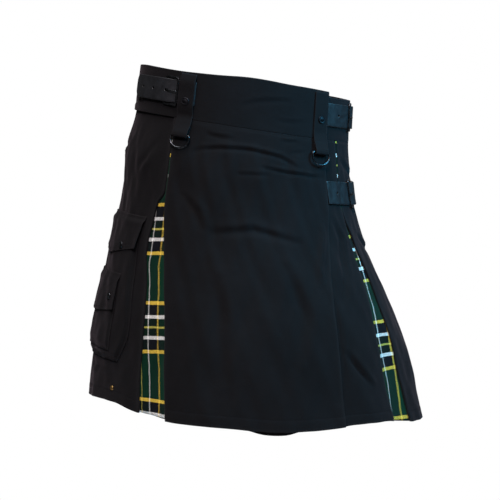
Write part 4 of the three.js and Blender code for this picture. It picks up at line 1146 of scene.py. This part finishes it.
def makeProng(name, plan):
    # from the far bar up through the strap and down on the near bar
    low, over, near, mid = plan["low"], plan["over"], plan["near"], plan["mid"]
    size = straps["prong"]
    top = over + straps["wall"] / 2 + garment["layerGap"] + size["thickness"] / 2
    start = plan["far"] - (straps["frame"]["bar"] / 2 + garment["seamGap"])
    path = smoothPath([(start, low), (start - 3.2, low + 0.5), (plan["slotFrom"] + 3.4, over + 0.6),
                       (plan["slotFrom"] + 1.4, over + 1.7), (mid, top), ((mid + near) / 2, top),
                       (near - 0.6, top + 0.1)], 0.7)
    normal = pathNormals(path)
    taper = np.interp(np.linspace(0, 1, len(path)), [0, 0.03, 0.8, 0.96, 1], [0.6, 1, 0.86, 0.62, 0.3])
    wide, deep = [size[key] / 2 * turn * taper[:, None]
                  for turn, key in zip(circle(14).T, ("width", "thickness"))]
    rings = onBody(plan["anchor"], plan["side"] * (path[:, :1] + normal[:, :1] * deep), wide,
                   path[:, 1:] + normal[:, 1:] * deep)
    steelSweep(f"prong{name}", rings, closed=False)


def makeChape(name, plan):
    # the short leather sewn on the cloth beyond the buckle
    size = straps["chape"]
    first = plan["far"] + straps["frame"]["bar"] / 2 + garment["seamGap"]
    out = plan["low"] - straps["wall"] / 2 + size["wall"] / 2
    profile = [(p, out) for p in np.linspace(first, first + size["length"], 18)]
    stripPiece(f"chape{name}", lambda u, v, w: onBody(plan["anchor"], plan["side"] * v, u, w),
               profile, size["width"], size["wall"], blackLeather, "laid")


for name, *places, holes in straps["runs"]:
    plan = planStrap(*places)
    makeLeather(name, plan, holes)
    makeFrame(name, plan)
    makeProng(name, plan)
    makeChape(name, plan)
print("straps and buckles made")

# Pockets on the wearer's right side
panelFace = garment["panelOut"] + garment["clothWall"] / 2
cargo = {"top": 264.0, "bottom": 508.0, "depth": 6.0, "lip": 9.0,
         "front": [(250, -49.5), (308, -52.6), (340, -52.4), (430, -50.9), (460, -51.6), (488, -54),
                   (520, -57)],
         "back": [(250, -100), (520, -103)],
         "flap": {"front": [(252, -48.2), (308, -51.9)], "back": -101.5, "top": 252.0, "low": 308.0,
                  "point": 18.0}}
small = {"top": 370.0, "bottom": 488.0, "depth": 3.0, "lip": 6.0,
         "front": [(345, -60.9), (500, -60)], "back": [(345, -95), (500, -96)],
         "flap": {"front": [(356, -60), (418, -60)], "back": -96.2, "top": 356.0, "low": 418.0,
                  "point": 10.0}}
# the turned-in mouth of a bag, its closing bottom, and the rim sewn round a flap
pocketLook = {"mouth": 12.0, "closing": 16.0, "rim": 8.0}


def standAt(bag, drop):
    # a bag stands off less near its mouth, where the flap holds it
    return bag["depth"] * (0.35 + 0.65 * smoothStep(drop, bag["top"], bag["top"] + 48))


def makeBag(name, bag, base, columns):
    closing, mouthEnd = pocketLook["closing"], bag["top"] + pocketLook["mouth"]
    wall = garment["clothWall"]
    drops = np.unique(np.concatenate([
        bag["top"] + np.arange(3), mouthEnd + np.arange(-1, 2),
        np.linspace(bag["top"] + 4, bag["bottom"] - closing, int((bag["bottom"] - bag["top"]) / 5)),
        np.linspace(bag["bottom"] - closing, bag["bottom"], 10)]))
    outer, inner, wear = [], [], []
    for drop in drops:
        front = np.interp(drop, *zip(*bag["front"]))
        back = np.interp(drop, *zip(*bag["back"]))
        perDegree = perDegreeAt(drop)
        width = (front - back) * perDegree
        standing = 1 - float(smoothStep(drop, bag["bottom"] - closing, bag["bottom"]))
        edge = np.array([0, 0.4, 1.2, 2.5, 4, 5.5, 7, 8.5]) * bag["lip"] / 9
        a = np.concatenate([edge, np.linspace(bag["lip"], width - bag["lip"], columns), (width - edge)[::-1]])
        inside = np.minimum(a, width - a)
        lift = smoothStep(inside, 1.5, bag["lip"])
        # the mouth's turned-in hem, the sag of the bag and a few soft dents
        mouth = 0.35 * (drop < mouthEnd) - 0.3 * math.exp(-((drop - mouthEnd) / 1.2) ** 2)
        t, v = a / width, (drop - bag["top"]) / (bag["bottom"] - bag["top"])
        dent = (np.sin(t * 7.1 + v * 3.0) * 0.45 + np.sin(t * 3.3 - v * 8.2 + 1.1) * 0.5
                + np.sin(t * 12 + v * 15) * 0.2) * smoothStep(inside, 4, 22) * (0.5 + v) * standing
        dent = dent * float(smoothStep(drop, bag["top"], bag["top"] + 60))
        out = base + float(standAt(bag, drop)) * standing * lift + dent
        outer.append(bodyPoint(back + a / perDegree, drop, out + wall / 2 + mouth))
        inner.append(bodyPoint(back + a / perDegree, drop, np.maximum(out, base) - wall / 2))
        rubbed = 0.6 * math.exp(-((drop - bag["top"]) / 1.2) ** 2)
        wear.append(np.exp(-((inside - 0.6) / 0.8) ** 2) * 0.5 + rubbed)
    outer = np.array(outer)
    obj = shellObject(name, outer, np.array(inner), blackTwill, wear=np.clip(wear, 0, 1))
    stateSheet(obj, outer, "laid", "side_panel_right")


def makeFlap(name, bag, base, face):
    # a flap is sewn on above its bag and lies on it
    flap, wall, rise, rim = bag["flap"], garment["clothWall"], 4.0, pocketLook["rim"]
    key = [(flap["top"], base), (flap["top"] + rise, base + 0.2)]
    for z in (bag["top"] - 1, bag["top"] + 8, (bag["top"] + flap["low"]) / 2, flap["low"] - 8, flap["low"]):
        key.append((z, face - bag["depth"] + float(standAt(bag, z))))
    profile = smoothPath(key, 2.2)
    edgeRows = flap["low"] - np.array([11, 10, 9, 3, 1.2, 0.5])
    extra = [(z, np.interp(z, profile[:, 0], profile[:, 1])) for z in edgeRows]
    profile = np.array(sorted([tuple(p) for p in profile] + extra))
    share = np.concatenate([[0, 0.004, 0.012, 0.03], np.linspace(0.05, 0.95, 38), [0.97, 0.988, 0.996, 1]])
    wide = flap["front"][-1][1] - flap["back"]
    inset = np.minimum(share, 1 - share) * wide * perDegreeAt(flap["low"])
    off = np.abs(2 * share - 1)
    point = 1 - np.sqrt(off ** 2 + 0.004) + math.sqrt(0.004) * 0.4
    outer, inner, wear = [], [], []
    for drop, out in profile:
        fromLow = flap["low"] - drop
        degrees = flap["back"] + (np.interp(drop, *zip(*flap["front"])) - flap["back"]) * share
        near = np.minimum(inset, fromLow) if fromLow < 30 else inset
        half = roundedHalf(near, 0.9, wall)
        ridge = (0.3 * (near < rim) - 0.28 * np.exp(-((near - rim) / 1.1) ** 2)) * (drop > bag["top"])
        follow = smoothStep(drop, flap["top"] + rise, flap["low"])
        z = drop + flap["point"] * np.clip(point, 0, 1) * follow
        sag = 0.5 * np.sin(share * 9.0 + drop * 0.05) * follow * smoothStep(near, 0, 14)
        outer.append(bodyPoint(degrees, z, out + half + ridge + np.maximum(sag, -0.2)))
        inner.append(bodyPoint(degrees, z, out - half + np.maximum(sag, 0) * 0.5))
        wear.append(np.exp(-(near / 1.2) ** 2) * 0.7)
    outer = np.array(outer)
    obj = shellObject(name, outer, np.array(inner), blackTwill, wear=np.array(wear))
    stateSheet(obj, outer, "folded", "side_panel_right")


halfWall = garment["clothWall"] / 2
cargoBase = panelFace + garment["layerGap"] + halfWall
smallBase = cargoBase + cargo["depth"] + halfWall + garment["layerGap"] + halfWall
smallFlapOut = smallBase + small["depth"] + halfWall + garment["layerGap"] + halfWall
onFlap = halfWall + garment["seamGap"] + 0.5
studProfile = [(0, 0), (1, 0), (1, 0.28), (0.97, 0.45), (0.86, 0.62), (0.72, 0.66), (0.62, 0.60),
               (0.5, 0.72), (0.3, 0.92), (0, 1)]
# name, degrees, drop, level under it, radius, height, material
studs = [("cargoStud", -62.5, 307, smallBase + onFlap, 6, 2.4, darkSteel),
         ("smallStud", -64, 396, smallFlapOut + onFlap, 5.5, 2.2, darkSteel),
         ("brassRivet", -57.7, 562, panelFace + garment["seamGap"], 4.6, 2, oldBrass)]


makeBag("cargoPocket", cargo, cargoBase, 40)
makeFlap("cargoFlap", cargo, cargoBase, smallBase)
makeBag("smallPocket", small, smallBase, 26)
makeFlap("smallFlap", small, smallBase, smallFlapOut)
for name, degrees, drop, base, radius, height, material in studs:
    latheCap(name, (degrees, drop), base, [(r * radius, h * height) for r, h in studProfile], material)
print("pockets made")


# Sewing: each line is a row of short stitches, laid on a wall's outer points
def inFrom(grid, side, distance):
    # fractional row or column of a wall at a distance in metres from one of its edges
    line = grid[:, grid.shape[1] // 2] if side in ("top", "low") else grid[grid.shape[0] // 2]
    if side in ("low", "right"):
        line = line[::-1]
    run = runLength(line)
    place = float(np.interp(distance, run, np.arange(len(run))))
    return len(run) - 1 - place if side in ("low", "right") else place


def gridLine(grid, rows, columns):
    # points and outward normals of a wall along fractional rows and columns
    def at(r, c):
        r, c = np.clip(r, 0, grid.shape[0] - 1.001), np.clip(c, 0, grid.shape[1] - 1.001)
        i, j = r.astype(int), c.astype(int)
        f, g = (r - i)[:, None], (c - j)[:, None]
        return (grid[i, j] * (1 - f) + grid[i + 1, j] * f) * (1 - g) + (
            grid[i, j + 1] * (1 - f) + grid[i + 1, j + 1] * f) * g

    points = at(rows, columns)
    normal = unitRows(np.cross(at(rows + 0.4, columns) - at(rows - 0.4, columns),
                               at(rows, columns + 0.4) - at(rows, columns - 0.4)))
    if (points[:, :2] * normal[:, :2]).sum() < 0:
        normal = -normal
    return points, normal


def seamLine(name, side, distance, *trim):
    # a line beside one edge of a wall; trim is how far it stops from the edges at its ends
    grid, count = wallGrids[name], 900
    across = side in ("top", "low")
    fixed = np.full(count, inFrom(grid, side, distance * mm))
    edges = ("left", "right") if across else ("top", "low")
    run = np.linspace(*[inFrom(grid, edge, t * mm) for edge, t in zip(edges, trim)], count)
    return gridLine(grid, fixed, run) if across else gridLine(grid, run, fixed)


stitch = {"pitch": 2.9, "length": 2.1, "width": 0.55, "height": 0.24, "sides": 5}


def makeSeams(name, lines):
    points, faces = [], []
    tube = tubeFaces(3, stitch["sides"])
    for line, normal in lines:
        run = runLength(line)
        centres = np.arange(stitch["pitch"], run[-1] / mm - stitch["pitch"] * 0.5, stitch["pitch"]) * mm
        for s in centres:
            ends = [np.array([np.interp(s + k * stitch["length"] / 2 * mm, run, line[:, i])
                              for i in range(3)]) for k in (-1, 0, 1)]
            up = np.array([np.interp(s, run, normal[:, i]) for i in range(3)])
            aside = np.cross(ends[2] - ends[0], up)
            aside /= np.linalg.norm(aside)
            start = len(points)
            for at, size, lift in zip(ends, (0.45, 1.0, 0.45), (-0.06, 0.06, -0.06)):
                for x, y in circle(stitch["sides"]):
                    points.append(at + aside * (x * stitch["width"] / 2 * size * mm)
                                  + up * ((y * stitch["height"] * size + lift) * mm))
            faces += [tuple(start + i for i in face) for face in tube]
    obj = meshObject(name, points, faces, blackThread)
    fixNormals(obj)
    attach(obj, None)


# distance of each line from its edge, and the room left at its two ends
foldTrim = garment["pleatReturn"] + 6
bandSewn = band["sewn"]["in"]
panelNames = ["frontApron"] + [run[0] for run in panelRuns]
seams = {
    "hemSeams": [(name, "low", hemLook["sewn"], foldTrim, foldTrim) for name in panelNames]
                + [("underApron", "low", hemLook["sewn"], 150, foldTrim)],
    "waistbandSeams": [("waistbandStrip", side, bandSewn, *trim) for side, *trim in (
        ("top", bandSewn, 260), ("low", bandSewn, 260), ("left", 5, 5))],
    "pocketSeams": [(name, side, d, 4, 4) for name in ("cargoPocket", "smallPocket")
                    for side, d in (("left", 2.2), ("right", 2.2), ("low", 2.2),
                                    ("top", pocketLook["mouth"]))],
    "flapSeams": [(name, side, d, 7, 7) for name in ("cargoFlap", "smallFlap")
                  for side, d in (("left", 7), ("right", 7), ("low", 7), ("top", 4))],
    "strapSeams": [(name, side, straps["groove"]["in"], 4, 4) for name in wallGrids
                   if name.startswith("strap") for side in ("left", "right")],
}
for name, lines in seams.items():
    makeSeams(name, [seamLine(*line) for line in lines])
print("sewing made")


# Stage: a white room, soft light from the front and a cooler one from the viewer's right
stageLook = {
    "floorDrop": 1.02, "paint": (0.93, 0.93, 0.93), "worldSeen": 1.0, "worldLight": 0.09,
    "sun": {"power": 2.9, "spread": 40, "turn": (12, -8)},
    # name, place, aim, size, power, colour
    "lights": [("key", (-0.35, -2.4, 1.9), (0, 0, -0.3), (0.7, 0.7), 76.0, (1.0, 0.88, 0.94)),
               ("coolFill", (0.8, -0.45, 0.38), (0.12, -0.1, -0.12), (0.4, 0.4), 20.0, (0.10, 0.62, 1.0)),
               ("rim", (0.2, 2.4, 1.2), (0, 0, -0.3), (1.6, 1.0), 12.0, (1, 1, 1))],
}


def areaLight(name, place, aim, size, power, colour):
    data = bpy.data.lights.new(name, "AREA")
    data.shape = "RECTANGLE"
    data.size, data.size_y = size
    data.energy = power
    data.color = colour
    obj = bpy.data.objects.new(name, data)
    obj.location = place
    obj.rotation_euler = (Vector(aim) - Vector(place)).to_track_quat("-Z", "Y").to_euler()
    scene.collection.objects.link(obj)


def makeStage():
    world = bpy.data.worlds.new("room")
    world.use_nodes = True
    tree = world.node_tree
    background = tree.nodes["Background"]
    path = tree.nodes.new("ShaderNodeLightPath")
    strength = remap(tree, path.outputs["Is Camera Ray"], 0.0, 1.0, stageLook["worldLight"],
                     stageLook["worldSeen"])
    background.inputs["Color"].default_value = (1, 1, 1, 1)
    tree.links.new(strength, background.inputs["Strength"])
    scene.world = world

    z = -stageLook["floorDrop"]
    floor = meshObject("floor", [(-0.7, -0.6, z), (0.7, -0.6, z), (0.7, 0.9, z), (-0.7, 0.9, z)],
                       [(0, 1, 2, 3)],
                       newMaterial("floorPaint", stageLook["paint"], roughness=0.95, specular=0.1)[0])
    sunLook = stageLook["sun"]
    sunData = bpy.data.lights.new("sun", "SUN")
    sunData.energy = sunLook["power"]
    sunData.angle = math.radians(sunLook["spread"])
    sun = bpy.data.objects.new("sun", sunData)
    sun.rotation_euler = (*[math.radians(turn) for turn in sunLook["turn"]], 0)
    scene.collection.objects.link(sun)
    for light in stageLook["lights"]:
        areaLight(*light)


makeStage()
scene.view_settings.view_transform = "Standard"
scene.view_settings.look = "None"
print("stage made")
